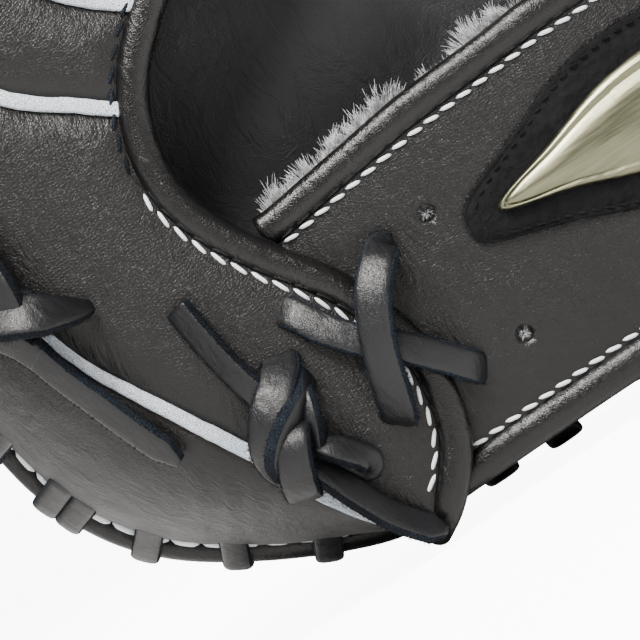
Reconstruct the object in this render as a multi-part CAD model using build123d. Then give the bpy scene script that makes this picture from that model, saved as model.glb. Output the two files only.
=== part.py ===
"""Baseball catcher's mitt for the left hand, standing on its heel.

Frame: +Z runs from the heel up to the web, +Y is the catching face, -Y the back of the hand and +X the
thumb side. The drawing frame below has y = 0 on the rim seam, where palm and back meet; at the end every
piece is moved so that the origin is the bottom centre of the whole mitt. Sizes are in millimetres.
"""

from build123d import *
import math
import os

# Overall outlines, drawn from the top middle round the little finger side as (radius, turn in degrees); the
# last arc of each half brings it back to the middle, and the thumb side mirrors the half.
TOP_Z = 285.0
RIM_TURNS = [(130.5, 90), (620, 9), (50, 46), (150, 10), (None, 25)]
BACK_TURNS = [(130.5, 90), (620, 9), (75, 36), (None, 45)]
SIDE_SEAM_TURNS = [(106.5, 90), (815, 5.3), (45, 22.7), (2000, 1), (None, 61)]
SIDE_SEAM_TOP_Z = 261.0
FLOOR_CUT_Z = 0.8

BACK_DEPTH, BACK_ROUND = 48.0, 28.0
PALM_DEPTH, PALM_ROUND = 50.0, 26.0
POCKET_RADIUS, POCKET_FLOOR, POCKET_Z = 150.0, 11.0, 150.0

LEATHER = 3.0
SEAM_GAP = 0.35
ROLL_OUT, ROLL_IN, ROLL_HALF = 2.0, 2.6, 2.5
WELT_WIDTH, WELT_PROUD = 2.6, 1.2
BINDING_WIDTH, BINDING_PROUD = 5.4, 2.0

# The closing hinge: a vertical line through the heel break and the middle of the web.
HINGE_X, HINGE_Y = 25.0, -5.0
CLOSE_DEG = 25.0

STRAP_LOW, STRAP_HIGH = 6.5, 74.0
STRAP_RADIUS_THUMB = 43.0
STRAP_RADIUS_WRIST = 600.0
STRAP_LEFT_X = -58.5
STRAP_END_DEG = -33.0
STRAP_LEATHER = 3.0
FLEECE = 6.0
STRAP_EDGE = 5.4
SPARE_HOLE_RADIUS = 1.5
SPARE_HOLES = [(-31.6, 54.1), (-29.2, 25.4)]
BADGE_PATCH = [(-27, 46.4), (-24.6, 51.4), (-10, 57.2), (5, 62), (22, 62.6), (36, 58.5), (46.5, 45), (36, 31.5),
               (22, 27.6), (5, 31.2), (-10, 37.4), (-24.6, 42.6)]
BADGE_PLATE = [(-20.4, 47.2), (-6, 51.8), (8, 55.8), (22, 56.4), (33, 53), (41, 45), (33, 37), (22, 34),
               (8, 36.8), (-6, 42.2)]

LACE_WIDTH, LACE_THICK = 6.4, 2.4
LACE_PITCH = 17.0

# Seams and edges on the back, as (x, z) points.
FINGER_EDGE = [(-62, -3), (-55, 8), (-49, 19), (-47, 32), (-52, 50), (-61, 64.5), (-67.8, 77.6), (-68.7, 91.5),
               (-61.7, 106.5), (-48, 117.5), (-29.5, 129), (-13, 138)]
THUMB_EDGE = [(62, -3), (56, 8), (53, 20), (53, 34), (57, 50), (64, 65), (68, 80), (67, 95), (62, 110), (54, 122),
              (46, 131), (39, 138)]
INDEX_WALL = [(-13, 138), (-15, 200), (-22, 262)]
THUMB_WALL = [(39, 138), (52, 200), (72, 256)]
FINGER_SEAMS = {
    "index_middle": [(-32.5, 127), (-47, 152), (-58, 188), (-68, 238)],
    "middle_ring": [(-52, 114), (-69, 132), (-83, 160), (-94, 199)],
    "ring_little": [(-66, 100.5), (-85, 116), (-97, 140), (-106, 169)],
}
WEB_GAP = [(4, 176), (-20, 300), (74, 300), (46, 176)]

parts = {}


def outline(turns, top_z=TOP_Z, inset=0.0):
    """A closed outline of tangent arcs as a face in the x-z plane, moved in by inset."""
    point, heading, edges = Vector(0, top_z), Vector(-1, 0), []
    for radius, turn in turns:
        if radius is None:
            radius = abs(point.X) / math.sin(math.radians(turn))
        arc = JernArc(point, heading, radius, turn)
        point, heading = arc @ 1, arc % 1
        edges.append(arc)
    edges += [mirror(arc, about=Plane.YZ) for arc in edges]
    face = make_face(edges)
    return Plane.XZ * (offset(face, -inset) if inset else face)


def block(face, y_low, y_high):
    """A face of the x-z plane as a block between two y planes."""
    return Pos(0, y_high, 0) * extrude(face, y_high - y_low)


def rim_prism(inset, y_low, y_high):
    return block(outline(RIM_TURNS, TOP_Z, inset), y_low, y_high)


def rim_ring(outset, inset, y_low, y_high):
    return rim_prism(-outset, y_low, y_high) - rim_prism(inset, y_low - 1, y_high + 1)


def side_seam(inset, y_low, y_high):
    return block(outline(SIDE_SEAM_TURNS, SIDE_SEAM_TOP_Z, inset), y_low, y_high)


def pillow(turns, depth, radius, inset):
    """A block from the seam plane towards -y with a round edge, its surface moved in by inset."""
    body = block(outline(turns, TOP_Z, inset), -(depth - inset), 0)
    return fillet(body.faces().sort_by(Axis.Y)[0].edges(), radius - inset)


def back_dome(inset=0.0):
    """The back as a solid, steep round the heel where the rim cuts it."""
    return pillow(BACK_TURNS, BACK_DEPTH, BACK_ROUND, inset) & rim_prism(max(inset, 0), -90, 5)


def palm_block(inset=0.0):
    """The padded palm as a solid with a round pocket, moved in by inset."""
    body = Rot(0, 0, 180) * pillow(RIM_TURNS, PALM_DEPTH, PALM_ROUND, inset)
    ball = Pos(0, POCKET_FLOOR + POCKET_RADIUS, POCKET_Z) * Sphere(POCKET_RADIUS + inset)
    return body - ball


def prism(points, y_low, y_high):
    """A polygon of (x, z) points as a block between two y planes."""
    return block(Plane.XZ * make_face(Polyline(*points, close=True)), y_low, y_high)


def plan(points, z_low, z_high):
    """A polygon of (x, y) points as a block between two heights."""
    return Pos(0, 0, z_low) * extrude(make_face(Polyline(*points, close=True)), z_high - z_low)


def strip(points, width, y_low, y_high):
    """A band of that width along a line of (x, z) points, as a block between two y planes."""
    places = []
    for i, (x, z) in enumerate(points):
        before, after = points[max(i - 1, 0)], points[min(i + 1, len(points) - 1)]
        along = Vector(after[0] - before[0], after[1] - before[1]).normalized()
        places.append((x, z, -along.Y, along.X))
    sides = [[(x + k * width / 2 * nx, z + k * width / 2 * nz) for x, z, nx, nz in places] for k in (1, -1)]
    return prism(sides[0] + sides[1][::-1], y_low, y_high)


def keep(name, shape):
    """Cuts a piece level with the floor and stores it under its node name."""
    solids = [s for s in (shape & above_floor).solids() if s.volume > 2.0]
    parts[name] = solids[0] if len(solids) == 1 else Compound(solids)


def biggest(shape):
    return max(shape.solids(), key=lambda s: s.volume)


above_floor = Pos(0, 0, FLOOR_CUT_Z + 200) * Box(400, 300, 400)
finger_space = plan([(-200, -150), (HINGE_X - 0.4, -150), (HINGE_X - 0.4, 150), (-200, 150)], -50, 350)
lean = math.tan(math.radians(CLOSE_DEG + 2))
thumb_space = plan([(HINGE_X + 0.4, HINGE_Y), (HINGE_X + 0.4, -150), (250, -150), (250, 150),
                    (HINGE_X + 0.4 + lean * (150 - HINGE_Y), 150)], -50, 350)
SIDES = {"finger": finger_space, "thumb": thumb_space}


def make_palm():
    """Cover, pad and lining of the catching face, one of each on either side of the hinge."""
    seam = rim_ring(6.0, ROLL_IN + SEAM_GAP, -ROLL_HALF - SEAM_GAP, ROLL_HALF + SEAM_GAP)
    web_gap = prism(WEB_GAP, -5, 60)
    cover = palm_block() - palm_block(LEATHER) - seam - web_gap
    pad = palm_block(LEATHER + 0.4) - seam - web_gap
    lining = rim_prism(9.0, -3.2, -0.2) - prism(WEB_GAP, -10, 10)
    for side, space in SIDES.items():
        keep(f"palm_cover_{side}_side", biggest(cover & space))
        keep(f"palm_pad_{side}_side", biggest(pad & space))
        keep(f"palm_lining_{side}_side", biggest(lining & space))


def edge_region(edge, wall):
    """The hand opening and the web gap beside it: everything between an edge and the hinge line."""
    sign = -1 if edge[0][0] < 0 else 1
    across = HINGE_X - sign * 30
    return prism(edge + wall[1:] + [(wall[-1][0] + sign * 4, 320), (across, 320), (across, -40),
                                    (edge[0][0], -40)], -90, 12)


def make_back():
    """The shells over the fingers and the thumb, their white welts, side panels and edge bindings."""
    seam = rim_prism(-20, -ROLL_HALF - SEAM_GAP, 5)
    outer, inner = back_dome() - seam, back_dome(LEATHER)
    shell = outer - inner
    proud = back_dome(-WELT_PROUD) - seam - inner
    bound = back_dome(-BINDING_PROUD) - seam - inner
    half_welt = WELT_WIDTH / 2
    side_band = side_seam(-half_welt, -80, 10) - side_seam(half_welt, -81, 11)
    wide_band = side_seam(-half_welt - 0.2, -80, 10) - side_seam(half_welt + 0.2, -81, 11)
    inside_side = side_seam(half_welt + 0.2, -80, 10)
    outside_side = rim_prism(-30, -80, 10) - side_seam(-half_welt - 0.2, -81, 11)
    for side, edge, wall in (("finger", FINGER_EDGE, INDEX_WALL), ("thumb", THUMB_EDGE, THUMB_WALL)):
        space = SIDES[side]
        strap_room = Pos(HINGE_X, HINGE_Y, 43) * Cylinder(STRAP_RADIUS_THUMB + 1.4, 74)
        cuts = edge_region(edge, wall) + strip(edge, BINDING_WIDTH + 0.4, -80, 10)
        cuts = cuts + strip(wall, LEATHER + 0.4, -80, 10)
        if side == "thumb":
            cuts = cuts + strap_room
        half = (shell - cuts) & space
        keep(f"{side}_back_binding", biggest((bound & strip(edge, BINDING_WIDTH, -80, 10) & space) - strap_room))
        side_wall = outer & strip(wall, LEATHER, -80, -3.6) & space
        side_wall = side_wall - strip(edge, BINDING_WIDTH + 0.6, -80, 10)
        keep("index_side_wall" if side == "finger" else "thumb_side_wall", biggest(side_wall))
        keep(f"{side}_side_panel", biggest(half & outside_side))
        keep(f"welt_{side}_side", biggest((proud - cuts) & side_band & space))
        top = half & inside_side
        if side == "thumb":
            keep("thumb_stall", biggest(top))
            continue
        for name, line in FINGER_SEAMS.items():
            keep(f"welt_{name}", biggest((proud - cuts - wide_band) & strip(line, WELT_WIDTH, -80, 10)))
            divider = back_dome(LEATHER + 0.4) & strip(line, 2.0, -80, -3.8)
            keep(f"divider_{name}", biggest(divider - strip(edge, BINDING_WIDTH + 6, -80, 10)))
            top = top - strip(line, WELT_WIDTH + 0.4, -80, 10)
        stalls = sorted(top.solids(), key=lambda s: -s.volume)[:4]
        stalls.sort(key=lambda s: -s.bounding_box().max.Z)
        for name, solid in zip(("index", "middle", "ring", "little"), stalls):
            keep(f"{name}_stall", solid)
        print("finger stalls", [round(s.volume) for s in stalls])


def make_rim():
    """The rolled edge that palm and back are sewn to, and the lace that is whipped over it."""
    roll = rim_ring(ROLL_OUT, ROLL_IN, -ROLL_HALF, ROLL_HALF)
    for side, space in SIDES.items():
        keep(f"rim_roll_{side}_side", biggest(roll & space))
    hole = rim_ring(ROLL_OUT + 0.15, ROLL_IN + 4, -ROLL_HALF - 0.15, ROLL_HALF + 0.15)
    edge = outline(RIM_TURNS, TOP_Z, 0).face().outer_wire()
    count = round(edge.length / LACE_PITCH)
    wraps = {"finger": [], "thumb": []}
    for i in range(count):
        here, along = edge.position_at((i + 0.5) / count), edge.tangent_at((i + 0.5) / count)
        if here.Z < 9 or abs(here.X - HINGE_X) < 9:
            continue
        out = Vector(along.Z, 0, -along.X)
        if out.dot(here - Vector(0, 0, 140)) < 0:
            out = out * -1
        place = Plane(origin=here + out * (0.3 + 2.1), x_dir=along, z_dir=out)
        loop = place * Box(LACE_WIDTH, 2 * ROLL_HALF + 2 * LACE_THICK, 4.2) - hole
        wraps["finger" if here.X < HINGE_X else "thumb"].append(biggest(loop))
    for side, loops in wraps.items():
        keep(f"rim_lace_{side}_side", Compound(loops))


def strap_band(outside, inside, z_low, z_high):
    """A layer of the strap between two offsets from its outer face: a flat wrist arc, then a thumb arc."""
    wrist_y = HINGE_Y - STRAP_RADIUS_THUMB + STRAP_RADIUS_WRIST
    start = -90 + math.degrees(math.asin((STRAP_LEFT_X - HINGE_X) / STRAP_RADIUS_WRIST))
    edges = []
    for offset_in in (outside, inside):
        wrist = CenterArc((HINGE_X, wrist_y), STRAP_RADIUS_WRIST - offset_in, start, -90 - start)
        thumb = CenterArc((HINGE_X, HINGE_Y), STRAP_RADIUS_THUMB - offset_in, -90, 90 + STRAP_END_DEG)
        edges += [wrist, thumb]
    edges += [Line(edges[0] @ 0, edges[2] @ 0), Line(edges[1] @ 1, edges[3] @ 1)]
    return Pos(0, 0, z_low) * extrude(make_face(edges), z_high - z_low)


def strap_y(x):
    """y of the strap's outer face left of the hinge line."""
    wrist_y = HINGE_Y - STRAP_RADIUS_THUMB + STRAP_RADIUS_WRIST
    return wrist_y - math.sqrt(STRAP_RADIUS_WRIST**2 - (x - HINGE_X) ** 2)


def make_strap():
    """Wrist strap: leather with spare lace holes, fleece lining, two bound edges and the badge."""
    low, high = STRAP_LOW + STRAP_EDGE, STRAP_HIGH - STRAP_EDGE
    leather = strap_band(0, STRAP_LEATHER, low + 0.1, high - 0.1)
    fleece = strap_band(STRAP_LEATHER + 0.1, STRAP_LEATHER + FLEECE, low + 0.1, high - 0.1)
    for x, z in SPARE_HOLES:
        drill = Pos(x, strap_y(x), z) * Rot(90, 0, 0) * Cylinder(SPARE_HOLE_RADIUS, 40)
        leather = leather - drill
        fleece = fleece - drill
    keep("wrist_strap", leather)
    keep("strap_fleece", fleece)
    keep("strap_upper_binding", strap_band(-0.8, STRAP_LEATHER + 2.2, high, STRAP_HIGH))
    keep("strap_lower_binding", strap_band(-0.8, STRAP_LEATHER + 2.2, STRAP_LOW, low))
    keep("badge_patch", prism(BADGE_PATCH, -90, 0) & strap_band(-1.9, -0.1, low + 0.2, high - 0.2))
    keep("badge_plate", prism(BADGE_PLATE, -90, 0) & strap_band(-4.2, -2.0, low + 0.2, high - 0.2))


def bar(start, end, y, width=LACE_WIDTH, thick=LACE_THICK):
    """A straight flat lace lying parallel to the back, from one (x, z) to another."""
    (x1, z1), (x2, z2) = start, end
    turn = math.degrees(math.atan2(z2 - z1, x2 - x1))
    centre = Pos((x1 + x2) / 2, y, (z1 + z2) / 2)
    return centre * Rot(0, -turn, 0) * Box(math.dist(start, end), thick, width)


def make_laces():
    """The crossed lace that ties the strap down, the two knots with their ends and the loops for two fingers."""
    on_back = -BACK_DEPTH - BINDING_PROUD - 0.2 - LACE_THICK / 2
    keep("strap_cross_lace", bar((-62, 53), (-40, 29), on_back) + bar((-43, 57), (-56, 28), on_back - LACE_THICK))
    keep("heel_knot", Pos(-76, -54.6, 38) * Rot(0, 30, 0) * Box(16, 8, 14))
    ends = bar((-79, 48.5), (-79.5, 68), -52) + bar((-70, 26.5), (-61, 3), -51.8)
    keep("heel_knot_ends", ends)
    keep("side_knot", Pos(-104, -53, 92) * Rot(0, 30, 0) * Box(15, 8, 12))
    keep("side_lace_end", bar((-103.5, 76), (-93.1, 41.9), -52))
    for name, x, space in (("little_finger_loop", -103, finger_space), ("thumb_loop", 88, thumb_space)):
        ring = Pos(x, -3.6, 112) * (Cylinder(15, 12) - Cylinder(13, 12))
        keep(name, ring & Pos(x, -3.6 - 10, 112) * Box(40, 20, 14) & space)
    staples = [Pos(x, PALM_DEPTH + LACE_THICK / 2 + 0.2, 14) * Box(12, LACE_THICK, LACE_WIDTH) for x in (-34, -14)]
    keep("heel_lace", Compound(staples))


def make_web():
    """A closed web of two panels laced together down the middle, with a crotch piece under it."""
    inside = rim_prism(4.0, 3.2, 8.0)
    left = prism([(6, 178), (-14.5, 290), (HINGE_X - 4, 290), (HINGE_X - 4, 178)], 3.2, 8.0) & inside
    right = prism([(HINGE_X + 7, 178), (HINGE_X + 7, 290), (69.5, 290), (44.5, 178)], 3.2, 8.0) & inside
    keep("web_panel_finger_side", left & finger_space)
    keep("web_panel_thumb_side", right & thumb_space)
    rungs = [Pos(HINGE_X - 7.9, 9.3, 190 + 17 * i) * Box(7, 2.4, LACE_WIDTH) for i in range(6)]
    keep("web_centre_lace_finger_side", Compound(rungs))
    rungs = [Pos(HINGE_X + 13.0, 9.3, 198 + 17 * i) * Box(8, 2.4, LACE_WIDTH) for i in range(5)]
    keep("web_centre_lace_thumb_side", Compound(rungs))
    keep("web_crotch", prism([(-9, 146), (-8, 168), (HINGE_X - 1, 168), (HINGE_X - 1, 146)], -14, -11))


make_palm()
make_back()
make_rim()
make_strap()
make_laces()
make_web()

boxes = [shape.bounding_box() for shape in parts.values()]
low_x, high_x = min(b.min.X for b in boxes), max(b.max.X for b in boxes)
low_y, high_y = min(b.min.Y for b in boxes), max(b.max.Y for b in boxes)
low_z, high_z = min(b.min.Z for b in boxes), max(b.max.Z for b in boxes)
to_origin = Pos(-(low_x + high_x) / 2, -(low_y + high_y) / 2, -low_z)
print("drawing frame to row frame", to_origin.position, "size", high_x - low_x, high_y - low_y, high_z - low_z)

os.makedirs("parts", exist_ok=True)
for name, shape in parts.items():
    export_step(to_origin * shape, f"parts/{name}.step")
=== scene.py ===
# %% [markdown]
# # A catcher's mitt, piece by piece
# The mitt stands on its heel. Its back, with the wrist strap, faces -Y and its pocket faces +Y. The hard
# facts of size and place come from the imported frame, and every soft piece is built here over its plain solid.

# %% Load the frame
import bpy
import math
import random
import numpy as np
from mathutils import Vector, Matrix, noise


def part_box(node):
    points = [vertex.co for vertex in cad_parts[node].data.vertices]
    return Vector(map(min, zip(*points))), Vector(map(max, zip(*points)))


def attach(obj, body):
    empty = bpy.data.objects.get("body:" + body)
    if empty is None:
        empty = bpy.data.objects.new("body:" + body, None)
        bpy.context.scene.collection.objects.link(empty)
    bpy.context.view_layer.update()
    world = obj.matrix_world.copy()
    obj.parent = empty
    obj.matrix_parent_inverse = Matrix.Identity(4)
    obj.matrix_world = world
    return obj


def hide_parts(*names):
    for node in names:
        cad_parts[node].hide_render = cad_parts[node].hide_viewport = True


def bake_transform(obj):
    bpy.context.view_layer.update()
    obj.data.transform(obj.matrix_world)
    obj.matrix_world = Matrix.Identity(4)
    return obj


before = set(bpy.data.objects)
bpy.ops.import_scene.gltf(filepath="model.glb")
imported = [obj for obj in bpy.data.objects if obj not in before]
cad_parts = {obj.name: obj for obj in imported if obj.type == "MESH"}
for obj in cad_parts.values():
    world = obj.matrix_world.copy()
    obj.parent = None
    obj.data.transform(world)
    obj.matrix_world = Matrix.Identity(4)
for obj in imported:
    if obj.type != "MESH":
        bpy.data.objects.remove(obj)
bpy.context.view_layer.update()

MM = 0.001
low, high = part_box("strap_lower_binding")
SHIFT = np.array([0.0, low.y * 1000 + 48.8, low.z * 1000 - 6.5])

# %% [markdown]
# ## The camera
# The picture is a close-up of the back, taken square on, with the mitt turned a third of a right angle, so
# its fingers point up and to the right. A long lens keeps the strap and the rim in the same proportion.

# %% Camera
VIEW_WIDTH = 0.1185
LENS = 250.0
camera_data = bpy.data.cameras.new("camera")
camera_data.lens, camera_data.sensor_width = LENS, 36.0
camera = bpy.data.objects.new("camera", camera_data)
bpy.context.collection.objects.link(camera)
view_right, view_up = Vector((0.824, 0.0, -0.566)), Vector((0.566, 0.0, 0.824))
view_back = view_right.cross(view_up)
distance = VIEW_WIDTH * LENS / 36.0
aim = Vector((-0.0591, low.y, 0.0481))
turn = Matrix((view_right, view_up, view_back)).transposed()
camera.matrix_world = Matrix.Translation(aim + view_back * distance) @ turn.to_4x4()
bpy.context.scene.camera = camera
print("camera", [round(v, 3) for v in camera.location], "distance", round(distance, 3))

# %% [markdown]
# ## Light and floor
# Black leather shows its shape only through what it mirrors, so it needs large soft lights: one broad panel
# over the fingers, a smaller one low on the heel side, and a bright room all round.

# %% Floor, room and lights
world = bpy.data.worlds.new("room")
bpy.context.scene.world = world
world.use_nodes = True
world.node_tree.nodes["Background"].inputs["Color"].default_value = (1, 1, 1, 1)
world.node_tree.nodes["Background"].inputs["Strength"].default_value = 0.34


def soft_light(name, place, target, size, power):
    data = bpy.data.lights.new(name, "AREA")
    data.energy, data.size, data.color = power, size, (1.0, 0.97, 0.93)
    lamp = bpy.data.objects.new(name, data)
    bpy.context.collection.objects.link(lamp)
    lamp.location = place
    lamp.rotation_euler = (Vector(target) - Vector(place)).to_track_quat("-Z", "Y").to_euler()


soft_light("over_fingers", (-0.15, -0.5, 0.9), (-0.03, 0.0, 0.1), 0.35, 26)
soft_light("near_side", (0.0, -0.8, 0.62), (-0.05, 0.0, 0.08), 0.2, 6)
soft_light("heel_side", (-0.8, -0.6, 0.15), (-0.05, 0.0, 0.08), 0.4, 1.4)
soft_light("pocket_side", (0.35, 0.95, 0.75), (0.0, 0.0, 0.14), 0.5, 20)
floor_mesh = bpy.data.meshes.new("floor")
floor_mesh.from_pydata([(-3, -3, 0), (3, -3, 0), (3, 3, 0), (-3, 3, 0), (3, 3, 3), (-3, 3, 3)], [], [(0, 1, 2, 3), (3, 2, 4, 5)])
floor = bpy.data.objects.new("floor", floor_mesh)
bpy.context.collection.objects.link(floor)
paint = bpy.data.materials.new("pale_floor")
paint.use_nodes = True
shader = paint.node_tree.nodes["Principled BSDF"]
shader.inputs["Base Color"].default_value = (0.75, 0.75, 0.75, 1)
shader.inputs["Roughness"].default_value = 0.8
shader.inputs["Emission Color"].default_value = (1, 1, 1, 1)
looked_at = paint.node_tree.nodes.new("ShaderNodeLightPath").outputs["Is Camera Ray"]
glow = paint.node_tree.nodes.new("ShaderNodeMath")
glow.operation = "MULTIPLY"
glow.inputs[1].default_value = 9.0
paint.node_tree.links.new(looked_at, glow.inputs[0])
paint.node_tree.links.new(glow.outputs[0], shader.inputs["Emission Strength"])
floor_mesh.materials.append(paint)

# %% [markdown]
# ## Leather, in layers
# Finished cowhide is a fine net of flat cells with pores between, over broad soft wrinkles. Both are made once
# as node groups. Each gives a height for the bump and a mask for colour, so one hide can look tighter or
# drier than another by its own values.

# %% Node group helpers


def new_group(name, inputs, outputs):
    """A shader node group with float inputs {name: value} and float outputs."""
    tree = bpy.data.node_groups.new(name, "ShaderNodeTree")
    for label, value in inputs.items():
        socket = tree.interface.new_socket(label, in_out="INPUT", socket_type="NodeSocketFloat")
        socket.default_value = value
    for label in outputs:
        tree.interface.new_socket(label, in_out="OUTPUT", socket_type="NodeSocketFloat")
    return tree, tree.nodes.new("NodeGroupInput"), tree.nodes.new("NodeGroupOutput")


def add(tree, kind, links=(), **settings):
    """A node with its settings, and links given as (input, socket or value)."""
    node = tree.nodes.new(kind)
    for key, value in settings.items():
        setattr(node, key, value)
    for key, value in links:
        if isinstance(value, bpy.types.NodeSocket):
            tree.links.new(value, node.inputs[key])
        else:
            node.inputs[key].default_value = value
    return node


def maths(tree, operation, a, b=0.0, clamp=False):
    return add(tree, "ShaderNodeMath", [(0, a), (1, b)], operation=operation, use_clamp=clamp).outputs[0]


# %% Group: hide grain
grain, given, result = new_group("hide_grain", {"Cells per metre": 1100.0, "Pores": 0.5}, ["Height", "Pore mask"])
where = add(grain, "ShaderNodeTexCoord").outputs["Object"]
warp = add(grain, "ShaderNodeTexNoise", [("Vector", where), ("Scale", 900.0), ("Detail", 2.0)])
pull = add(grain, "ShaderNodeVectorMath", [(0, warp.outputs["Color"]), (1, (0.00035, 0.00035, 0.00035))],
           operation="MULTIPLY")
bent = add(grain, "ShaderNodeVectorMath", [(0, where), (1, pull.outputs[0])], operation="ADD").outputs[0]
cells = add(grain, "ShaderNodeTexVoronoi", [("Vector", bent), ("Scale", given.outputs[0])],
            feature="DISTANCE_TO_EDGE")
flat_top = maths(grain, "MULTIPLY", cells.outputs["Distance"], 5.0, True)
fine = add(grain, "ShaderNodeTexNoise", [("Vector", where), ("Scale", 5200.0), ("Detail", 3.0)])
pores = add(grain, "ShaderNodeTexVoronoi", [("Vector", bent), ("Scale", 1150.0)], feature="F1")
dots = maths(grain, "MULTIPLY", maths(grain, "SUBTRACT", 0.22, pores.outputs["Distance"]), 6.0, True)
dots = maths(grain, "MULTIPLY", dots, given.outputs[1])
height = maths(grain, "ADD", maths(grain, "MULTIPLY", flat_top, 0.7), maths(grain, "MULTIPLY", fine.outputs[0], 0.2))
grain.links.new(maths(grain, "SUBTRACT", height, dots), result.inputs[0])
grain.links.new(dots, result.inputs[1])

# %% Group: wrinkles and handling
wear, given, result = new_group("handling", {"Size per metre": 60.0}, ["Height", "Patches"])
where = add(wear, "ShaderNodeTexCoord").outputs["Object"]
long_way = add(wear, "ShaderNodeMapping", [("Vector", where), ("Scale", (1.0, 1.0, 0.45))]).outputs[0]
folds = add(wear, "ShaderNodeTexNoise", [("Vector", long_way), ("Scale", given.outputs[0]), ("Detail", 4.0),
                                         ("Distortion", 0.8)])
lines = add(wear, "ShaderNodeTexNoise", [("Vector", long_way), ("Scale", 210.0), ("Detail", 5.0),
                                         ("Distortion", 1.6)])
ridge = maths(wear, "ABSOLUTE", maths(wear, "SUBTRACT", lines.outputs[0], 0.5))
ridge = maths(wear, "MULTIPLY", ridge, 2.2, True)
wear.links.new(maths(wear, "ADD", folds.outputs[0], maths(wear, "MULTIPLY", ridge, 0.3)), result.inputs[0])
blot = add(wear, "ShaderNodeTexNoise", [("Vector", where), ("Scale", 34.0), ("Detail", 3.0)])
wear.links.new(maths(wear, "MULTIPLY", maths(wear, "SUBTRACT", blot.outputs[0], 0.35), 2.4, True), result.inputs[1])
print("groups", [g.name for g in bpy.data.node_groups])

# %% [markdown]
# ## One recipe for every hide
# The shader stays in the material: dark dye as base colour, a slightly lighter tone where hands have rubbed
# it, painted shade that darkens the pores, roughness that rises in the pores, and two bumps, one for wrinkles and one
# for grain.

# %% Leather recipe


def leather(name, dye, rubbed, rough=0.42, cells=1700.0, pores=0.4, grain_depth=0.00005, fold_depth=0.0008,
            gloss=0.36, folds=60.0):
    mat = bpy.data.materials.new(name)
    mat.use_nodes = True
    tree = mat.node_tree
    shader = tree.nodes["Principled BSDF"]
    shader.inputs["Specular IOR Level"].default_value = gloss
    hide = add(tree, "ShaderNodeGroup", node_tree=grain)
    hide.inputs[0].default_value, hide.inputs[1].default_value = cells, pores
    handled = add(tree, "ShaderNodeGroup", node_tree=wear)
    handled.inputs[0].default_value = folds
    colour = add(tree, "ShaderNodeMix", [("Factor", handled.outputs["Patches"])], data_type="RGBA")
    colour.inputs["A"].default_value, colour.inputs["B"].default_value = (*dye, 1), (*rubbed, 1)
    # painted shade: the base colour falls to half the dye in the pore pits of the grain
    deep = add(tree, "ShaderNodeMix", [("Factor", hide.outputs["Pore mask"]), ("A", colour.outputs["Result"])],
               data_type="RGBA")
    deep.inputs["B"].default_value = (dye[0] * 0.5, dye[1] * 0.5, dye[2] * 0.5, 1)
    tree.links.new(deep.outputs["Result"], shader.inputs["Base Color"])
    roughness = maths(tree, "ADD", maths(tree, "MULTIPLY", handled.outputs["Patches"], -0.08), rough + 0.04)
    roughness = maths(tree, "ADD", roughness, maths(tree, "MULTIPLY", hide.outputs["Pore mask"], 0.2))
    tree.links.new(roughness, shader.inputs["Roughness"])
    broad = add(tree, "ShaderNodeBump", [("Height", handled.outputs["Height"]), ("Distance", fold_depth)])
    close = add(tree, "ShaderNodeBump", [("Height", hide.outputs["Height"]), ("Distance", grain_depth),
                                         ("Normal", broad.outputs[0])])
    tree.links.new(close.outputs[0], shader.inputs["Normal"])
    return mat


black_hide = leather("black_hide", (0.0026, 0.0024, 0.0023), (0.0062, 0.0055, 0.0051), rough=0.37)
roll_hide = leather("rolled_hide", (0.0026, 0.0025, 0.0026), (0.0056, 0.0052, 0.0051), rough=0.27, cells=2000.0,
                    grain_depth=0.00003, fold_depth=0.0006)
strap_hide = leather("strap_hide", (0.003, 0.0029, 0.0031), (0.0062, 0.0058, 0.0059), rough=0.34, cells=1900.0,
                     grain_depth=0.00004, fold_depth=0.0006)
lining_hide = leather("lining_hide", (0.018, 0.018, 0.020), (0.03, 0.03, 0.033), rough=0.46, folds=40.0)
lace_face = leather("lace_face", (0.004, 0.0043, 0.0052), (0.008, 0.0084, 0.0098), rough=0.33, cells=2600.0,
                    pores=0.2, grain_depth=0.00003, fold_depth=0.0004, folds=160.0)
lace_cut = leather("lace_cut_edge", (0.004, 0.0058, 0.0095), (0.022, 0.031, 0.047), rough=0.85, cells=1700.0,
                   grain_depth=0.0006, gloss=0.15)
white_hide = leather("white_welt", (0.50, 0.56, 0.63), (0.80, 0.85, 0.90), rough=0.62, cells=2000.0, pores=0.9,
                     grain_depth=0.0003, fold_depth=0.0004)
thread = leather("white_thread", (0.74, 0.77, 0.82), (0.84, 0.86, 0.88), rough=0.55, cells=2400.0, pores=0.0,
                 fold_depth=0.0001)
print("hides", len(bpy.data.materials))

# %% [markdown]
# ## Fleece, velvet and badge metal
# The fleece is a pile of fibres, pale at the tips. The velvet needs sheen, because its fibres light up
# edge-on. The metal is polished and pale gold, with brushed lines so fine that they only soften it.

# %% Fleece, velvet, metal


def pile(name, root, tip, rough, sheen):
    mat = bpy.data.materials.new(name)
    mat.use_nodes = True
    tree = mat.node_tree
    shader = tree.nodes["Principled BSDF"]
    where = add(tree, "ShaderNodeTexCoord").outputs["Object"]
    tuft = add(tree, "ShaderNodeTexNoise", [("Vector", where), ("Scale", 420.0), ("Detail", 4.0)])
    ramp = add(tree, "ShaderNodeMix", [("Factor", maths(tree, "MULTIPLY", maths(tree, "SUBTRACT", tuft.outputs[0], 0.32), 2.6, True))],
               data_type="RGBA")
    ramp.inputs["A"].default_value, ramp.inputs["B"].default_value = (*root, 1), (*tip, 1)
    tree.links.new(ramp.outputs["Result"], shader.inputs["Base Color"])
    shader.inputs["Roughness"].default_value = rough
    shader.inputs["Sheen Weight"].default_value = sheen
    shader.inputs["Specular IOR Level"].default_value = 0.2
    bump = add(tree, "ShaderNodeBump", [("Height", tuft.outputs[0]), ("Distance", 0.0012)])
    tree.links.new(bump.outputs[0], shader.inputs["Normal"])
    return mat


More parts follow.
